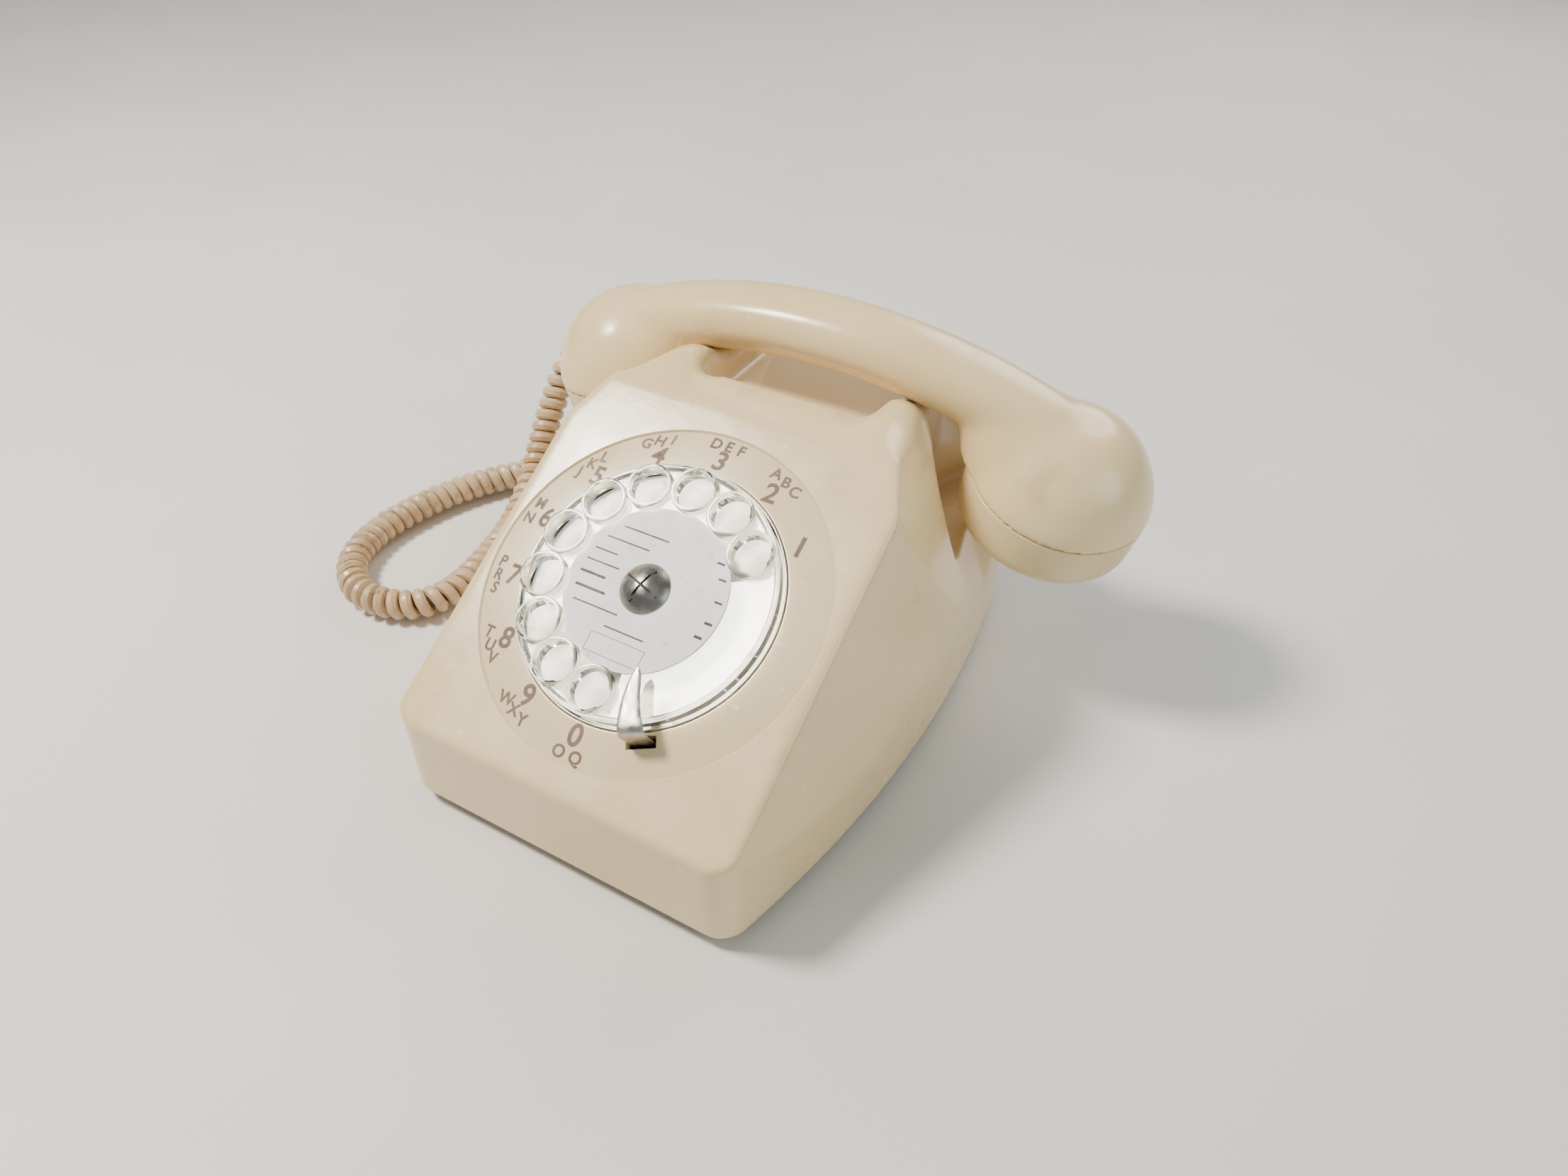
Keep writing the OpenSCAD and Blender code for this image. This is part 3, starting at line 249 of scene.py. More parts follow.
CAD_FINISH = {
    IVORY: ["cover_shell"],
    IVORY_HANDSET: ["handset_shell"],
    IVORY_CAP: ["ear_cap", "mouth_cap"],
    CREAM: ["dial_plate"],
    CLEAR: ["finger_wheel"],
    PAPER: ["label_card"],
    STEEL: ["finger_stop", "dial_screw", "dial_shaft", "dial_pillars", "dial_mount_screws", "pinion_shaft",
            "governor_shaft", "cover_screws", "board_screws", "gong_screws", "gong_posts", "bell_clapper"],
    ZINC: ["dial_front_plate", "dial_back_plate", "ringer_frame", "hook_bracket", "governor_weights"],
    BRASS: ["main_gear", "second_gear", "governor_cup", "spring_barrel", "hook_contacts", "pulse_contacts"],
    GONG: ["gong_left", "gong_right"],
    MAGNET: ["ringer_magnet"],
    PRESSED: ["receiver_capsule", "transmitter_capsule"],
    WHITE: ["pulse_cam", "hook_lever", "plunger_left", "plunger_right"],
    DARK: ["base_plate"],
    RUBBER: ["rubber_feet", "capsule_seals"],
    BOARD: ["circuit_board"],
    COPPER: ["induction_coil", "ringer_coils"],
    FILM: ["capacitor"],
    BLOCK: ["terminal_block"],
    GLAND: ["cord_gland", "line_inlet", "handset_gland"],
    WIRE: ["handset_wires"],
    CORD: ["handset_cord"],
}
for finish, names in CAD_FINISH.items():
    for name in names:
        for slot in NODES[name].material_slots:
            slot.material = finish


# ---------- mesh tools, in millimetres ----------
def rounded(points, radii, steps=4):
    """A closed outline with its corners rounded: radii is one value, or one for each corner."""
    if not hasattr(radii, "__len__"):
        radii = [radii] * len(points)
    out = []
    for i, corner in enumerate(points):
        corner = Vector(corner)
        before, after = Vector(points[i - 1]), Vector(points[(i + 1) % len(points)])
        reach = min(radii[i], (before - corner).length * 0.48, (after - corner).length * 0.48)
        if reach <= 0:
            out.append(tuple(corner))
            continue
        start = corner + (before - corner).normalized() * reach
        end = corner + (after - corner).normalized() * reach
        for k in range(steps + 1):
            t = k / steps
            out.append(tuple(start * (1 - t) ** 2 + corner * 2 * t * (1 - t) + end * t * t))
    return out


def mesh_of(verts, faces, frame_matrix=Matrix.Identity(4), name="shape"):
    """An object in millimetres with its doubled points merged and its faces turned outwards."""
    mesh = bpy.data.meshes.new(name)
    mesh.from_pydata([frame_matrix @ Vector(v) for v in verts], [], faces)
    shape = bpy.data.objects.new(name, mesh)
    bpy.context.scene.collection.objects.link(shape)
    bm = bmesh.new()
    bm.from_mesh(mesh)
    bmesh.ops.remove_doubles(bm, verts=bm.verts, dist=1e-5)
    bmesh.ops.recalc_face_normals(bm, faces=bm.faces)
    bm.to_mesh(mesh)
    bm.free()
    return shape


def lathe(outline, frame_matrix=Matrix.Identity(4), steps=96, name="turned"):
    """Turns a closed (radius, height) outline about Z."""
    n = len(outline)
    verts, faces = [], []
    for i in range(steps):
        a = math.tau * i / steps
        verts += [(r * math.cos(a), r * math.sin(a), z) for r, z in outline]
        after = (i + 1) % steps
        faces += [(i * n + k, i * n + (k + 1) % n, after * n + (k + 1) % n, after * n + k) for k in range(n)]
    return mesh_of(verts, faces, frame_matrix, name)


def rod(radius, low, high, frame_matrix=Matrix.Identity(4), steps=64):
    return lathe([(0, low), (radius, low), (radius, high), (0, high)], frame_matrix, steps)


def sleeve(i, n):
    """Faces between ring i - 1 and ring i, of n points each."""
    return [((i - 1) * n + k, (i - 1) * n + (k + 1) % n, i * n + (k + 1) % n, i * n + k) for k in range(n)]


def prism(points, low, high, frame_matrix=Matrix.Identity(4), name="prism"):
    """Extrudes an outline along Z."""
    n = len(points)
    verts = [(x, y, low) for x, y in points] + [(x, y, high) for x, y in points]
    faces = [tuple(range(n - 1, -1, -1)), tuple(range(n, 2 * n))]
    faces += [(k, (k + 1) % n, n + (k + 1) % n, n + k) for k in range(n)]
    return mesh_of(verts, faces, frame_matrix, name)


def box(low, high, frame_matrix=Matrix.Identity(4)):
    outline = [(low[0], low[1]), (high[0], low[1]), (high[0], high[1]), (low[0], high[1])]
    return prism(outline, low[2], high[2], frame_matrix)


def bake(shape):
    """Makes the object's modifiers real."""
    graph = bpy.context.evaluated_depsgraph_get()
    shape.data = bpy.data.meshes.new_from_object(shape.evaluated_get(graph))
    shape.modifiers.clear()
    return shape


def combine(shape, operation, others, solver="MANIFOLD"):
    """Boolean of an object with others, which are used up."""
    for other in others:
        step = shape.modifiers.new("boolean", "BOOLEAN")
        step.operation = operation
        step.object = other
        step.solver = solver
        bake(shape)
        bpy.data.objects.remove(other)
    return shape


def merge(shapes):
    """Objects as one object, their surfaces still apart."""
    bm = bmesh.new()
    for shape in shapes:
        bm.from_mesh(shape.data)
    first = shapes[0]
    bm.to_mesh(first.data)
    bm.free()
    for shape in shapes[1:]:
        bpy.data.objects.remove(shape)
    return first


def resurface(shape, size):
    """An even mesh over the outside of the shape."""
    step = shape.modifiers.new("remesh", "REMESH")
    step.mode = "VOXEL"
    step.voxel_size = size
    step.adaptivity = 0
    return bake(shape)


def relax(shape, rounds, weight):
    """Rounds edges off by moving points towards their neighbours; weight(points) is from 0, still, to 1."""
    mesh = shape.data
    n = len(mesh.vertices)
    points = np.empty(n * 3)
    mesh.vertices.foreach_get("co", points)
    points = points.reshape(-1, 3)
    ends = np.empty(len(mesh.edges) * 2, int)
    mesh.edges.foreach_get("vertices", ends)
    a, b = ends.reshape(-1, 2).T
    count = np.bincount(a, minlength=n) + np.bincount(b, minlength=n)
    share = 0.5 * weight(points)[:, None]
    for _ in range(rounds):
        total = np.stack(
            [np.bincount(a, points[b, k], n) + np.bincount(b, points[a, k], n) for k in range(3)], axis=1
        )
        points = points + share * (total / count[:, None] - points)
    mesh.vertices.foreach_set("co", points.ravel())
    mesh.update()
    return shape


def piece(shape, name, finish, body, replaced=(), crisp=35):
    """A finished object: in metres, named, shaded smooth up to an angle, and riding on a body."""
    shape.name = name
    shape.data.name = name
    shape.data.transform(Matrix.Scale(MM, 4) @ PLACED)
    shape.data.materials.clear()
    shape.data.materials.append(finish)
    shape.data.shade_smooth()
    shape.data.set_sharp_from_angle(angle=math.radians(crisp))
    if body is not None:
        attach(shape, body)
    if replaced:
        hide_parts(*replaced)
    return shape


# ---------- camera ----------
def camera():
    data = bpy.data.cameras.new("camera")
    data.sensor_width = 36
    data.lens = 24.98
    data.clip_start = 0.01
    camera = bpy.data.objects.new("camera", data)
    bpy.context.scene.collection.objects.link(camera)
    right = Vector((0.869874, 0.493166, 0.010324))
    up = Vector((-0.324786, 0.556872, 0.764466))
    back = Vector((0.371259, -0.668342, 0.644582))
    turn = Matrix((right, up, back)).transposed().to_4x4()
    camera.matrix_world = Matrix.Translation(PLACED @ Vector((143.508, -223.340, 260.357)) * MM) @ turn
    bpy.context.scene.camera = camera
    bpy.context.scene.render.resolution_x = 2212
    bpy.context.scene.render.resolution_y = 1659


camera()

# ---------- coiled cord ----------
CORD_EXIT = Vector((-CAP_SPREAD / 2 - 22, 18, -CAP_DROP + 4))
EXIT_TURN, EXIT_DIP = math.radians(-20), math.radians(-123)
EXIT_WAY = Matrix.Rotation(EXIT_TURN, 3, "Z") @ Matrix.Rotation(EXIT_DIP, 3, "Y") @ Vector((0, 0, 1))
CORD_ROUTE = [
    (-30, 98, 14), (-30, 104, 13), (-36, 108, 9), (-52, 113, 6.4), (-80, 106, 6.2), (-106, 86, 6.2),
    (-128, 56, 6.2), (-143, 34, 6.2), (-151, 14, 6.2), (-154, -8, 6.2), (-149, -26, 6.2), (-136, -37, 6.2),
    (-121, -38, 6.2), (-109, -31, 6.2), (-105, -18, 6.2), (-107, 0, 6.2), (-111, 18, 7), (-115, 34, 13),
    (-118, 46, 22), (-119, 56, 34), (-118, 65, 46), (-115, 74, 57),
    HANDSET @ (CORD_EXIT + 16 * EXIT_WAY), HANDSET @ (CORD_EXIT + 9 * EXIT_WAY),
]
WIRE_R = 2.15
COIL_R = 3.45
COIL_PITCH = 4.6
LEAD = 9
TURN_STEPS = 14
WIRE_SIDES = 8


def smooth_route(points, steps=16):
    """Points along a Catmull-Rom curve through the route."""
    route = [Vector(p) for p in points]
    last = len(route) - 1
    out = []
    for i in range(last):
        p0, p1, p2, p3 = route[max(i - 1, 0)], route[i], route[i + 1], route[min(i + 2, last)]
        for k in range(steps):
            t = k / steps
            bend = (2 * p0 - 5 * p1 + 4 * p2 - p3) * t**2
            twist = (3 * p1 - p0 - 3 * p2 + p3) * t**3
            out.append(0.5 * (2 * p1 + (p2 - p0) * t + bend + twist))
    out.append(route[-1])
    return out


def helix_points():
    """Centres of the wire: straight out of the gland, close turns, the last two drawn open."""
    line = smooth_route(CORD_ROUTE)
    along = [0.0]
    for a, b in zip(line, line[1:]):
        along.append(along[-1] + (b - a).length)
    total = along[-1]
    side = Vector((1, 0, 0))
    centres, s, angle, i = [], 0.0, 0.0, 0
    while s < total:
        while i < len(line) - 2 and along[i + 1] < s:
            i += 1
        share = (s - along[i]) / (along[i + 1] - along[i])
        middle = line[i].lerp(line[i + 1], share)
        ahead = (line[min(i + 2, len(line) - 1)] - line[max(i - 1, 0)]).normalized()
        side = (side - ahead * side.dot(ahead)).normalized()
        other = ahead.cross(side)
        to_end = total - s
        swell = min(1, max(0, (s - LEAD) / 6), max(0, (to_end - LEAD) / 6))
        radius = COIL_R * swell * swell * (3 - 2 * swell)
        centres.append(middle + radius * (side * math.cos(angle) + other * math.sin(angle)))
        opened = 1 + 1.1 * math.exp(-((to_end - 18) / 12) ** 2)
        step = COIL_PITCH * opened / TURN_STEPS
        if radius > 0 or s >= LEAD:
            angle += math.tau / TURN_STEPS
        s += step if swell > 0 else 1.0
    centres.append(line[-1])
    return centres


def tube(centres, radius, sides):
    """A round tube through the centres, its rings turned as little as possible."""
    verts, faces = [], []
    side = Vector((0, 0, 1))
    last = len(centres) - 1
    for i, centre in enumerate(centres):
        ahead = (centres[min(i + 1, last)] - centres[max(i - 1, 0)]).normalized()
        side = (side - ahead * side.dot(ahead)).normalized()
        other = ahead.cross(side)
        for k in range(sides):
            a = math.tau * k / sides
            verts.append(centre + radius * (side * math.cos(a) + other * math.sin(a)))
        if i:
            faces += sleeve(i, sides)
    faces.append(tuple(range(sides)))
    faces.append(tuple(last * sides + k for k in range(sides)))
    return mesh_of(verts, faces)


def coiled_cord():
    centres = helix_points()
    wire = tube(centres, WIRE_R, WIRE_SIDES)
    cord = piece(wire, "coiled_cord", CORD, None, ["handset_cord"])
    cord.parent = None
    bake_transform(cord)


coiled_cord()

# ---------- cover ----------
BODY_DEPTH, BODY_WIDTH, FRONT_WIDTH = 190, 139, 114
WIDE_Y, RIDGE_Z, FOOT_H, WALL = 10, 33, 4, 2.8
FACE_WIDTH, FRONT_CORNER, REAR_CORNER = 111, 9, 16
BROW_Z, EAR_RISE, CRADLE_Y = 94.5, math.radians(3), 50
HOLLOW_HALF, CHANNEL_DEPTH = 29.5, 15
DIAL_FORWARD, DIAL_Z, RING_D, WHEEL_D = 41, 64, 104, 76.8
PLUNGER_X, PLUNGER_R = 34, 2.2
PLUNGER_Y = GRIP_Y + GRIP_H * math.sin(HANDSET_ROLL)
BROW_Y = -DIAL_FORWARD + (BROW_Z - DIAL_Z) / math.tan(FACE_TILT)
FRONT_Y, REAR_Y = -BODY_DEPTH / 2, BODY_DEPTH / 2
EAR_BACK_Y = CRADLE_Y + 24


def ear_z(y):
    return BROW_Z + (y - BROW_Y) * math.tan(EAR_RISE)


def footprint(inset):
    """The cover's outline from above, its sides one shallow arc."""
    side_run = WIDE_Y - FRONT_Y - FRONT_CORNER
    side_r = side_run**2 / (BODY_WIDTH - FRONT_WIDTH)

    def half_at(y):
        return BODY_WIDTH / 2 - (y - WIDE_Y) ** 2 / (2 * side_r)

    def corner(y, r, end):
        start = math.atan((y - WIDE_Y) / side_r)
        cx, cy = half_at(y) - r * math.cos(start), y - r * math.sin(start)
        turns = [start + (end - start) * i / 8 for i in range(9)]
        return [(cx + r * math.cos(a), cy + r * math.sin(a)) for a in turns]

    y0, y1 = FRONT_Y + FRONT_CORNER, REAR_Y - REAR_CORNER
    steps = 24
    side = [(half_at(y0 + (y1 - y0) * i / steps), y0 + (y1 - y0) * i / steps) for i in range(1, steps)]
    half = corner(y0, FRONT_CORNER, -math.pi / 2)[::-1] + side + corner(y1, REAR_CORNER, math.pi / 2)
    kx, ky = 1 - 2 * inset / BODY_WIDTH, 1 - inset / REAR_Y
    right = [(x * kx, y * ky) for x, y in half]
    return right + [(-x, y) for x, y in reversed(right)]


def mirrored(n):
    return Vector((-n.x, n.y, n.z))


def body_planes():
    """The sloping planes of the cover as (normal, distance): all over, in front of the cradle, behind it."""
    face_n = Vector((0, -math.sin(FACE_TILT), math.cos(FACE_TILT)))
    face = (face_n, face_n.dot(Vector((0, -DIAL_FORWARD, DIAL_Z))))
    low = Vector((FACE_WIDTH / 2, FRONT_Y, RIDGE_Z))
    middle = Vector((BODY_WIDTH / 2, 0, RIDGE_Z))
    facet_n = -Vector((0, math.cos(FACE_TILT), math.sin(FACE_TILT))).cross(middle - low).normalized()
    facet = (facet_n, facet_n.dot(low))
    cheek_top = Vector((FACE_WIDTH / 2 - 1, 0, BROW_Z - 6.5))
    cheek_low = Vector((BODY_WIDTH / 2 - 0.5, 19.5, RIDGE_Z + 10.5))
    cheek_mid = Vector((FACE_WIDTH / 2 - 11.5, CRADLE_Y - 5, BROW_Z - 6.5))
    cheek_n = (cheek_low - cheek_top).cross(cheek_mid - cheek_top).normalized()
    cheek_d = cheek_n.dot(cheek_top)
    rear_cheek = (Vector((cheek_n.x, -cheek_n.y, cheek_n.z)), cheek_d - 2 * CRADLE_Y * cheek_n.y)
    top_n = Vector((0, -math.sin(EAR_RISE), math.cos(EAR_RISE)))
    top = (top_n, top_n.dot(Vector((0, BROW_Y, BROW_Z))))
    rear_n = Vector((0, ear_z(EAR_BACK_Y) - 46, REAR_Y - EAR_BACK_Y)).normalized()
    rear = (rear_n, rear_n.dot(Vector((0, REAR_Y, 46))))
    both = [face, top, rear, facet, (mirrored(facet_n), facet[1])]
    front = [(cheek_n, cheek_d), (mirrored(cheek_n), cheek_d)]
    back = [rear_cheek, (mirrored(rear_cheek[0]), rear_cheek[1])]
    return both, front, back


def trimmed(shape, planes):
    """Cuts a closed convex shape with planes, keeping the inner side of each."""
    bm = bmesh.new()
    bm.from_mesh(shape.data)
    for normal, distance in planes:
        whole = bm.verts[:] + bm.edges[:] + bm.faces[:]
        result = bmesh.ops.bisect_plane(
            bm, geom=whole, plane_co=normal * distance, plane_no=normal, clear_outer=True, dist=1e-5
        )
        edges = [e for e in result["geom_cut"] if isinstance(e, bmesh.types.BMEdge)]
        if edges:
            bmesh.ops.edgeloop_fill(bm, edges=edges)
    bmesh.ops.recalc_face_normals(bm, faces=bm.faces)
    bm.to_mesh(shape.data)
    bm.free()
    return shape


def body_halves(inset=0.0, overlap=0.5):
    """The cover's outer solid as two convex halves that meet at the cradle."""
    both, front, back = body_planes()
    ahead = Vector((0, 1, 0))
    halves = []
    for cheeks, cut in ((front, (ahead, CRADLE_Y + overlap)), (back, (-ahead, -CRADLE_Y + overlap))):
        planes = [(n, d - inset) for n, d in both + cheeks] + [cut]
        low = FOOT_H - (0.01 if inset else 0)
        halves.append(trimmed(prism(footprint(inset), low, ear_z(REAR_Y) + 10), planes))
    return halves


def hollow(grow):
    """The space between the ears: a shallow shelf, then the channel under the grip."""
    shelf_y, channel_z = BROW_Y + 20, BROW_Z - CHANNEL_DEPTH
    top = BROW_Z + 26
    outline = [
        (BROW_Y - grow, BROW_Z - grow),
        (shelf_y, BROW_Z - 2 - grow),
        (shelf_y + 2 - grow, channel_z - grow),
        (EAR_BACK_Y + 20 + grow, channel_z - grow),
        (EAR_BACK_Y + 20 + grow, top),
        (BROW_Y - grow, top),
    ]
    turn = Matrix.Rotation(math.pi / 2, 4, "Z") @ Matrix.Rotation(math.pi / 2, 4, "X")
    reach = HOLLOW_HALF + grow
    return prism(outline, -reach, reach, turn)


# half the grip's section from its top: shares of half its width and of its height
GRIP_SECTION = [
    (0, 0), (0.38, 0.015), (0.7, 0.1), (0.92, 0.28), (1, 0.49),
    (0.92, 0.72), (0.7, 0.91), (0.38, 0.985), (0, 1),
]
GRIP_REACH = math.asin((CAP_SPREAD / 2 - 2) / GRIP_R)


def grip_sweep(half_section):
    """Sweeps half a section, given across and down from the grip's top, along the grip's arc."""
    loop = half_section + [(-x, y) for x, y in reversed(half_section[1:-1])]
    n, steps = len(loop), 60
    verts, faces = [], []
    for i in range(steps + 1):
        a = GRIP_REACH * (2 * i / steps - 1)
        for across, down in loop:
            r = GRIP_R - down
            verts.append((r * math.sin(a), across, r * math.cos(a) - GRIP_R))
        if i:
            faces += sleeve(i, n)
    faces += [tuple(range(n)), tuple(steps * n + k for k in range(n))]
    return mesh_of(verts, faces, HANDSET)


def seats(grow):
    """The space the handset needs: its grip's lower half, opening upwards, and a round bay for each cap."""
    low = [(x * (GRIP_W / 2 + grow), y * GRIP_H + grow) for x, y in GRIP_SECTION if y > 0.4]
    spaces = [grip_sweep([(0, -2 * GRIP_H), (GRIP_W / 2 + grow + 6, -2 * GRIP_H)] + low)]
    below = CAP_H - 5
    x = CAP_SPREAD / 2 - HANDSET_SHIFT - below * math.sin(CAP_LEAN)
    y = GRIP_Y + (CAP_DROP + below) * math.sin(HANDSET_ROLL)
    z = GRIP_TOP_Z - (CAP_DROP + CAP_H) * math.cos(HANDSET_ROLL)
    for side in (-1, 1):
        spaces.append(rod(CAP_R + 1.1 + grow, z - grow, z + 90, Matrix.Translation((side * x, y, 0)), 96))
    return spaces


HOLE_STEP = 360 / 14
STOP_ANGLE = -2.5 * HOLE_STEP
STOP_R = 42


def hole_angle(i):
    """Direction in degrees of the i-th finger hole from the dial's centre, counted from 1 at 0."""
    return (1.5 + i) * HOLE_STEP


def stop_slot():
    turn = DIAL @ Matrix.Rotation(math.radians(STOP_ANGLE), 4, "Z")
    return box((STOP_R - 1.7, -4.3, -30), (STOP_R + 1.7, 4.3, 30), turn)


def edge_softness(points):
    """Full rounding on the upper edges, less along the skirt's ridge, none at the foot."""
    height = points[:, 2]
    ridge = 1 - 0.85 * np.clip(1 - np.abs(height - RIDGE_Z - 2) / 9, 0, 1)
    return ridge * np.clip((height - FOOT_H - 2) / 8, 0, 1)


def ear_softness(points):
    """Rounding of the ears' humps, fading out below them and over the face."""
    x, y, z = np.abs(points[:, 0]), points[:, 1], points[:, 2]
    return np.clip((z - 84) / 6, 0, 1) * np.clip((y - BROW_Y - 2) / 10, 0, 1) * np.clip((x - 20) / 8, 0, 1)


def cover():
    shape = resurface(merge(body_halves()), 0.9)
    relax(shape, 6, edge_softness)
    combine(shape, "DIFFERENCE", [hollow(0)] + seats(0.4))
    resurface(shape, 0.8)
    relax(shape, 4, edge_softness)
    relax(shape, 200, ear_softness)
    inner = merge(body_halves(WALL))
    resurface(inner, 1.6)
    combine(inner, "DIFFERENCE", [hollow(WALL)] + seats(WALL + 0.8))
    edge = RING_D / 2
    outline = rounded([(0, -2.9), (edge, -2.9), (edge, -0.4), (edge + 1.2, 0.5), (0, 0.5)], [0, 0, 0.4, 0, 0])
    ring_pocket = lathe(outline, DIAL, 160)
    dial_opening = rod(WHEEL_D / 2 + 1.1, -30, 30, DIAL, 128)
    combine(shape, "DIFFERENCE", [inner, ring_pocket, dial_opening])
    for side in (-1, 1):
        place = Matrix.Translation((side * PLUNGER_X, PLUNGER_Y, 0))
        combine(shape, "DIFFERENCE", [rod(PLUNGER_R + 0.45, 70, 120, place)])
    for x in (-30, 34):
        turn = Matrix.Translation((x, REAR_Y + 1, 14)) @ Matrix.Rotation(math.pi / 2, 4, "X")
        combine(shape, "DIFFERENCE", [rod(5, 0, 9, turn)])
    piece(shape, "cover", IVORY, "base", ["cover_shell"])


def number_ring():
    inner, outer = WHEEL_D / 2 + 1.05, RING_D / 2 + 0.15
    outline = rounded([(inner, -2.8), (outer, -2.8), (outer, -0.6), (inner, 1)], [0, 0, 0, 0.5])
    ring = lathe(outline, DIAL, 160)
    combine(ring, "DIFFERENCE", [stop_slot()])
    piece(ring, "number_ring", IVORY_RING, "base")


def steel_rim():
    """Worn steel rim of the dial, standing in the gap beside the wheel."""
    inner, outer = WHEEL_D / 2 + 0.3, WHEEL_D / 2 + 0.85
    outline = rounded([(inner, -2.4), (outer, -2.4), (outer, 1.2), (inner, 1.2)], [0, 0, 0.25, 0.25])
    ring = lathe(outline, DIAL, 160)
    combine(ring, "DIFFERENCE", [stop_slot()])
    piece(ring, "steel_rim", STEEL, "base")


cover()
number_ring()
steel_rim()

# ---------- numbers and letters on the ring ----------
RING_SLOPE = math.atan(1.6 / (RING_D / 2 - WHEEL_D / 2 - 1))


def ring_height(radius):
    """Height of the number ring's sloping top at a distance from the dial's centre."""
    return 1 - (radius - WHEEL_D / 2 - 1) * math.tan(RING_SLOPE)


def glyphs(text, size, weight=0.0):
    """One line of plain lettering as a thin solid, centred on the origin."""
    curve = bpy.data.curves.new("glyphs", "FONT")
    curve.body = text
    curve.size = size
    curve.align_x = "CENTER"
    curve.align_y = "CENTER"
    curve.extrude = 0.03
    curve.offset = weight
    curve.resolution_u = 6
    holder = bpy.data.objects.new("glyphs", curve)
    bpy.context.scene.collection.objects.link(holder)
    mesh = bpy.data.meshes.new_from_object(holder.evaluated_get(bpy.context.evaluated_depsgraph_get()))
    bpy.data.objects.remove(holder)
    shape = bpy.data.objects.new("glyphs", mesh)
    bpy.context.scene.collection.objects.link(shape)
    return shape


def on_ring(shape, angle, radius):
    """Lays upright lettering on the ring's slope."""
    a = math.radians(angle)
    tangent = Vector((-math.sin(a), math.cos(a), 0))
    lean = Matrix.Rotation(RING_SLOPE, 4, tangent)
    spot = Matrix.Translation((radius * math.cos(a), radius * math.sin(a), ring_height(radius)))
    shape.data.transform(DIAL @ spot @ lean)
    return shape


def dial_numbers():
    marks = []
    for i in range(10):
        marks.append(on_ring(glyphs(str((i + 1) % 10), 8.8, 0.2), hole_angle(i), 43.6))
    piece(merge(marks), "dial_numbers", DIGIT, "base")


def dial_letters():
    marks = []
    groups = ["", "ABC", "DEF", "GHI", "JKL", "MN", "PRS", "TUV", "WXY", "OQ"]
    for i, group in enumerate(groups):
        spacing = 4.9 if len(group) == 3 else 6.4
        middle = (len(group) - 1) / 2
        way = -1 if i < 5 else 1  # each group reads from left to right or downwards
        for k, letter in enumerate(group):
            angle = hole_angle(i) + way * (k - middle) * spacing
            marks.append(on_ring(glyphs(letter, 4.9, 0.16), angle, 49))
    piece(merge(marks), "dial_letters", DIGIT, "base")


dial_numbers()
dial_letters()

# ---------- finger wheel ----------
HOLE_R, HOLE_D, COLLAR_T = 31, 12, 0.9
WHEEL_W, WHEEL_T, COLLAR_W = 1.8, 2.4, 7


def at_hole(i, radius=HOLE_R):
    turn = Matrix.Rotation(math.radians(hole_angle(i)), 4, "Z")
    return DIAL @ turn @ Matrix.Translation((radius, 0, 0))


def finger_wheel():
    edge, top = WHEEL_D / 2, WHEEL_W + WHEEL_T
    outline = [(1.7, WHEEL_W), (edge, WHEEL_W), (edge, top + 1)]
    outline += [(edge - 1.5, top + 1), (edge - 1.7, top), (1.7, top)]
    wheel = lathe(rounded(outline, [0, 0.5, 0.7, 0.6, 0.4, 0]), DIAL, 160)
    inner, outer = HOLE_D / 2 - 0.3, HOLE_D / 2 + COLLAR_T
    collar = rounded(
        [(inner, top - 1), (outer, top - 1), (outer, COLLAR_W), (inner, COLLAR_W)], [0, 0, 0.55, 0], steps=5
    )
    combine(wheel, "UNION", [lathe(collar, at_hole(i), 64) for i in range(10)])
    combine(wheel, "DIFFERENCE", [rod(HOLE_D / 2, -5, 12, at_hole(i), 64) for i in range(10)])
    piece(wheel, "clear_wheel", CLEAR, "dial_wheel", ["finger_wheel"])


def card_print():
    """Generic ruled lines, short marks and a small frame printed on the card."""
    level = WHEEL_W + WHEEL_T + 0.3
    marks = []

    def stroke(x0, y0, x1, y1):
        marks.append(box((x0, y0, level - 0.01), (x1, y1, level + 0.03), DIAL))

    thin, bold = 0.2, 0.38
    rows = [(14.8, 15, thin), (10.5, 14, thin), (6.2, 7.5, thin), (2.5, 11, thin)]
    rows += [(-1.3, 8.5, bold), (-5.5, 10, bold), (-9.7, 15, thin)]
    for y, length, half in rows:
        start = -math.sqrt(21.2**2 - y * y)
        stroke(start, y - half, start + length, y + half)
    for y, half in ((14.2, 0.3), (10, 0.3), (3.7, 0.3), (-2.6, 0.4), (-7, 0.4)):
        end = math.sqrt(23.2**2 - y * y)
        stroke(end - 2.4, y - half, end, y + half)
    stroke(-6, -13.9, 7, -13.5)
    left, right, low, high = -8.5, 9, -21.6, -16.2
    for y in (low, high):
        stroke(left, y - 0.08, right, y + 0.08)
    for x in (left, right):
        stroke(x - 0.08, low, x + 0.08, high)
    piece(merge(marks), "card_print", INK, "dial_wheel")


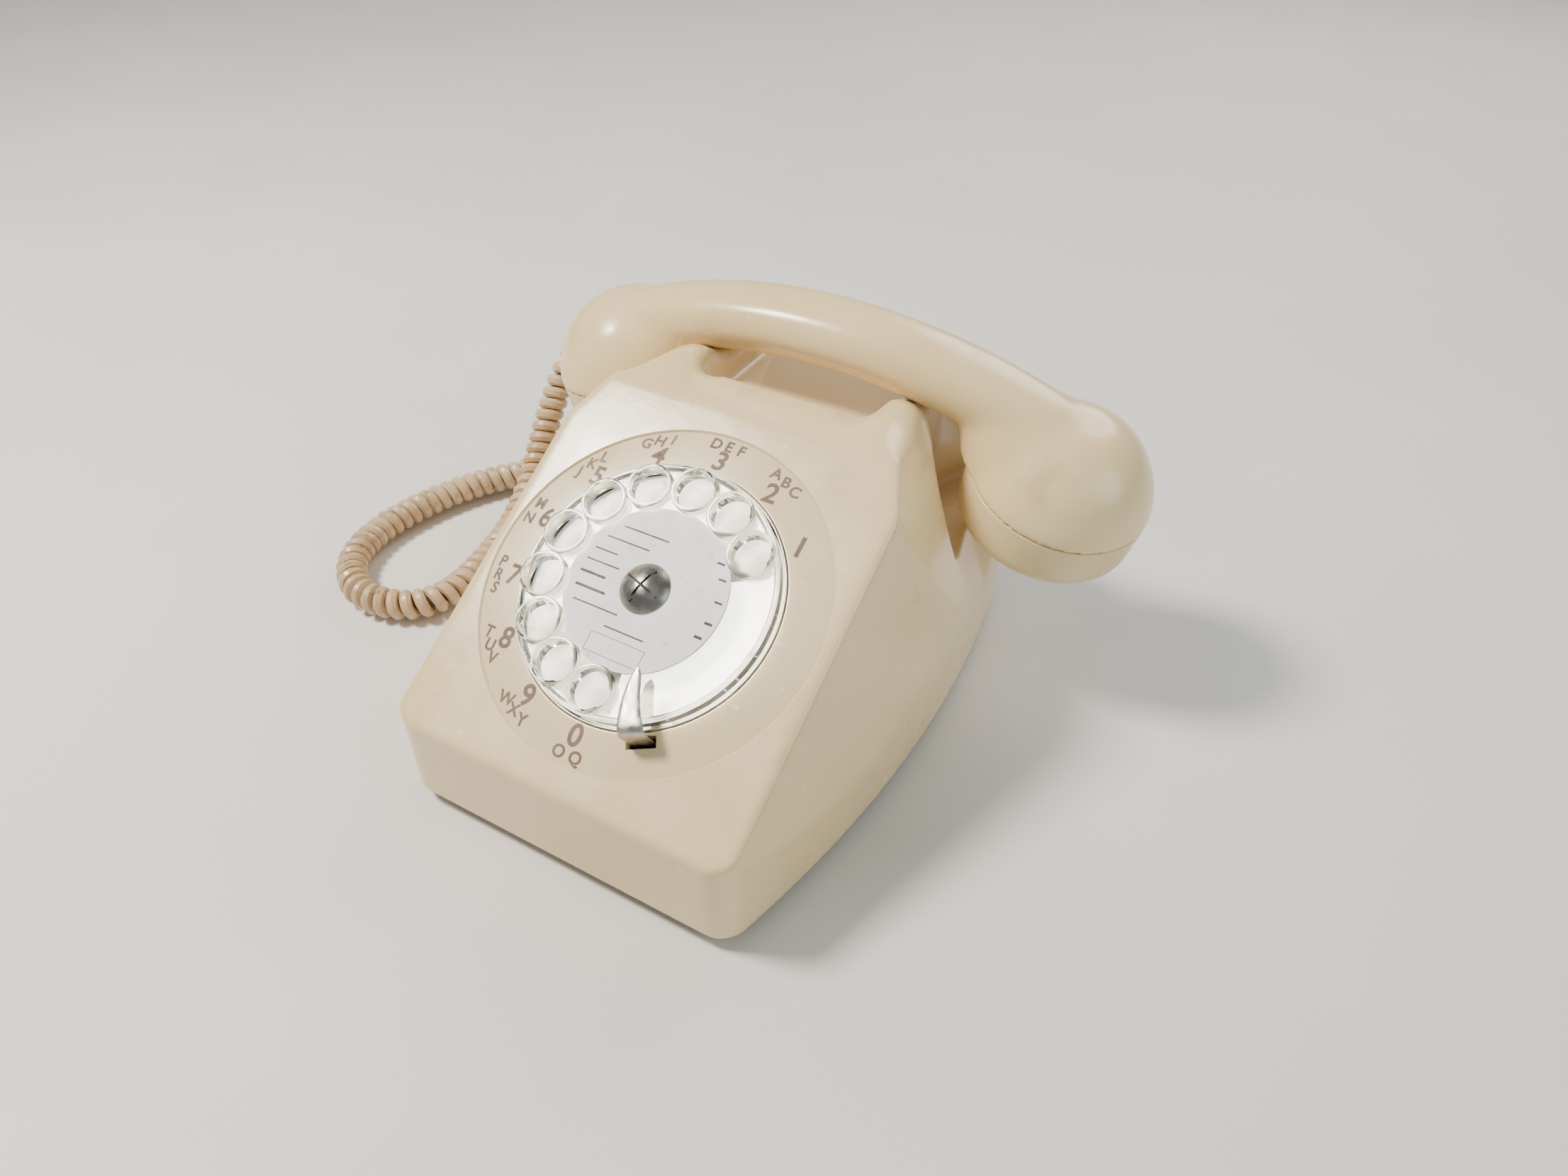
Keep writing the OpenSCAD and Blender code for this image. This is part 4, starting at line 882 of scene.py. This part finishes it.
def domed_screw():
    """Large domed screw with a thin cross slot, in the middle of the wheel, and painted shade in the slot
    bottoms.
    """
    base, rim, dome = WHEEL_W + WHEEL_T + 0.3, 7.4, 10.4
    outline = [(0, base), (rim - 0.15, base), (rim, base + 0.2)]
    middle = base - math.sqrt(dome**2 - rim**2) + 0.4
    for k in range(17):
        a = math.acos(rim / dome) + (math.pi / 2 - math.acos(rim / dome)) * k / 16
        outline.append((dome * math.cos(a), middle + dome * math.sin(a)))
    screw = lathe(outline, DIAL, 96)
    top = middle + dome
    turns = [DIAL @ Matrix.Rotation(math.radians(-17 + 90 * quarter), 4, "Z") for quarter in (0, 1)]
    slots = [box((-6.4, -0.35, top - 1.5), (6.4, 0.35, top + 2), turn) for turn in turns]
    combine(screw, "DIFFERENCE", slots)
    piece(screw, "domed_screw", DULL_STEEL, "dial_wheel", ["dial_screw"])
    # dark boxes in the lower part of each slot: painted shade for the slot bottoms
    slot_shade = merge([box((-5.6, -0.33, top - 1.6), (5.6, 0.33, top - 0.9), turn) for turn in turns])
    piece(slot_shade, "painted_slot_shade", SLOT_SHADE, "dial_wheel")


def finger_stop():
    """Bent steel horn: up through its slot, over, and in towards the screw, one edge bowed and one hollow."""
    turn = DIAL @ Matrix.Rotation(math.radians(STOP_ANGLE), 4, "Z")
    top, bend, tip = 8.8, 2.2, 24.0
    path = [(STOP_R, -5.2, 1), (STOP_R, 2, 1)]
    for k in range(7):
        a = math.radians(15 * k)
        path.append((STOP_R - bend + bend * math.cos(a), top - bend + bend * math.sin(a), 1))
    run = STOP_R - bend - tip
    for k in range(1, 15):
        path.append((STOP_R - bend - run * k / 14, top, 1 - k / 14))
    verts, faces = [], []
    ring = 12
    last = len(path) - 1
    for i, (r, w, share) in enumerate(path):
        before, after = path[max(i - 1, 0)], path[min(i + 1, last)]
        ahead = Vector((after[0] - before[0], 0, after[1] - before[1])).normalized()
        out = Vector((0, 1, 0)).cross(ahead)
        hollow_edge = 2.2 + 1.4 * share**4
        bowed_edge = 0.5 - 4.1 * (1 - (1 - share) ** 2)
        near_tip = max(0.0, 1 - share / 0.14)
        half = (hollow_edge - bowed_edge) / 2 * math.sqrt(max(0.03, 1 - near_tip**2 * 0.95))
        centre = Vector((r, (hollow_edge + bowed_edge) / 2, w))
        for k in range(ring):
            a = math.tau * (k + 0.5) / ring
            flat = math.copysign(abs(math.cos(a)) ** 0.45, math.cos(a))
            thick = math.copysign(abs(math.sin(a)) ** 0.6, math.sin(a))
            verts.append(centre + Vector((0, half * flat, 0)) + out * 0.5 * thick)
        if i:
            faces += sleeve(i, ring)
    faces += [tuple(range(ring)), tuple(last * ring + k for k in range(ring))]
    tab = box((36.6, 2.6, -0.2), (40.5, 8.5, 0.6), turn)
    shape = merge([mesh_of(verts, faces, turn), tab])
    piece(shape, "steel_finger_stop", STEEL, "base", ["finger_stop"], crisp=50)


finger_wheel()
card_print()
domed_screw()
finger_stop()

# ---------- handset ----------
def grip():
    """A long arc with an oval section, its ends inside the bowls."""
    return grip_sweep([(x * GRIP_W / 2, y * GRIP_H) for x, y in GRIP_SECTION])


def flare(side):
    """Widening from the grip into a bowl: a cone ending in a ball inside the dome, under the grip's arc."""
    start, near, far = 52, GRIP_H / 2 - 0.5, CAP_R - 1.3
    start_z = math.sqrt(GRIP_R**2 - start**2) - GRIP_R - GRIP_H / 2
    end = Vector((side * (CAP_SPREAD / 2 - 1.2), 0, -CAP_DROP - 3))
    way = end - Vector((side * start, 0, start_z))
    turn = way.to_track_quat("Z", "Y").to_matrix().to_4x4()
    place = HANDSET @ Matrix.Translation((side * start, 0, start_z)) @ turn
    lean = math.asin((far - near) / way.length)
    outline = [(0, -near * math.sin(lean)), (near * math.cos(lean), -near * math.sin(lean))]
    for k in range(25):
        a = (math.pi / 2 + lean) * k / 24 - lean
        outline.append((far * math.cos(a), way.length + far * math.sin(a)))
    outline[-1] = (0, way.length + far)
    cone = lathe(outline, place, 96)
    arc = HANDSET @ Matrix.Translation((0, 0, -GRIP_R)) @ Matrix.Rotation(math.pi / 2, 4, "X")
    above = at_cap(side) @ Matrix.Translation((0, 0, 50.3))
    return combine(cone, "INTERSECT", [rod(GRIP_R - 0.2, -60, 60, arc, 360), rod(100, -50, 50, above)])


def bowl(side, inset=0.0, low=0.0):
    """Domed end of the handset over a cap."""
    radius = CAP_R + 0.6 - inset
    top = BOWL_H - inset
    outline = [(0, low), (CAP_R - inset, low)]
    start = math.asin(min(1, (low + DOME_DROP) / radius))
    for k in range(25):
        a = start + (math.pi / 2 - start) * k / 24
        outline.append((min(CAP_R - inset, radius * math.cos(a)), min(top, radius * math.sin(a) - DOME_DROP)))
    return lathe(outline, at_cap(side), 128)


def handset_softness(points):
    """Full rounding on the grip and domes, none at the two rims."""
    weight = np.ones(len(points))
    for side in (-1, 1):
        frame_matrix = np.array(at_cap(side).inverted())
        local = points @ frame_matrix[:3, :3].T + frame_matrix[:3, 3]
        near = np.hypot(local[:, 0], local[:, 1]) < CAP_R + 4
        height = np.clip((local[:, 2] - 1.2) / 5, 0, 1)
        weight = np.where(near, np.minimum(weight, height), weight)
    return weight


def handset():
    shape = resurface(merge([grip(), flare(-1), flare(1), bowl(-1), bowl(1)]), 0.8)
    relax(shape, 44, handset_softness)
    combine(shape, "DIFFERENCE", [bowl(side, BOWL_WALL, -2) for side in (-1, 1)])
    piece(shape, "handset_moulding", IVORY_HANDSET, "handset", ["handset_shell"])


def cap(side, name, replaced):
    """Screw-on cap: a plain band, a rounded face with a ring of holes, hollow inside."""
    rim, wall = CAP_R, 2.2
    outline = rounded(
        [(0, -CAP_H), (rim - 6, -CAP_H), (rim, -CAP_H + 5.5), (rim, -0.3), (rim - wall, -0.3),
         (rim - wall, -CAP_H + 6), (rim - 7, -CAP_H + 2.2), (0, -CAP_H + 2.2)],
        [0, 3.5, 3.5, 0.5, 0.2, 2, 2, 0],
        steps=6,
    )
    shape = lathe(outline, at_cap(side), 128)
    circle = [math.radians(60 * i) for i in range(6)]
    holes = [(0, 0)] + [(8 * math.cos(a), 8 * math.sin(a)) for a in circle]
    places = [at_cap(side) @ Matrix.Translation((x, y, 0)) for x, y in holes]
    cuts = [rod(1.6, -CAP_H - 2, -CAP_H + 4, place, 24) for place in places]
    combine(shape, "DIFFERENCE", cuts)
    piece(shape, name, IVORY_CAP, "handset", [replaced])


handset()
cap(1, "ear_cap_moulding", "ear_cap")
cap(-1, "mouth_cap_moulding", "mouth_cap")

# ---------- stage ----------
def stage():
    floor = box((-3000, -3000, -20), (3000, 3000, 0))
    floor.name = "floor"
    floor.data.transform(Matrix.Scale(MM, 4))
    light, dark = (226, 222, 216), (222, 218, 211)
    surface = Finish("pale_floor", light, dark, gloss=(0.55, 0.65), patch=6, relief=(200, 0.02))
    floor.data.materials.append(surface.done())
    world = bpy.data.worlds.new("studio")
    world.use_nodes = True
    world.node_tree.nodes["Background"].inputs["Color"].default_value = (0.88, 0.93, 1.0, 1)
    world.node_tree.nodes["Background"].inputs["Strength"].default_value = 0.44
    bpy.context.scene.world = world


def lamp(name, spot, target, size, power, colour):
    data = bpy.data.lights.new(name, "AREA")
    data.shape = "DISK"
    data.size = size
    data.energy = power
    data.color = colour
    light = bpy.data.objects.new(name, data)
    light.location = spot
    light.rotation_euler = (Vector(target) - Vector(spot)).to_track_quat("-Z", "Y").to_euler()
    bpy.context.scene.collection.objects.link(light)


stage()
lamp("window", (-0.55, -0.25, 0.9), (0, 0, 0.05), 0.25, 17.5, (1.0, 0.96, 0.88))
lamp("back", (0.1, 1.1, 0.8), (0, 0, 0.05), 0.7, 7, (1.0, 0.97, 0.92))
lamp("fill", (1.0, 0.0, 0.5), (0, 0, 0.05), 0.6, 3.5, (0.86, 1.0, 0.93))
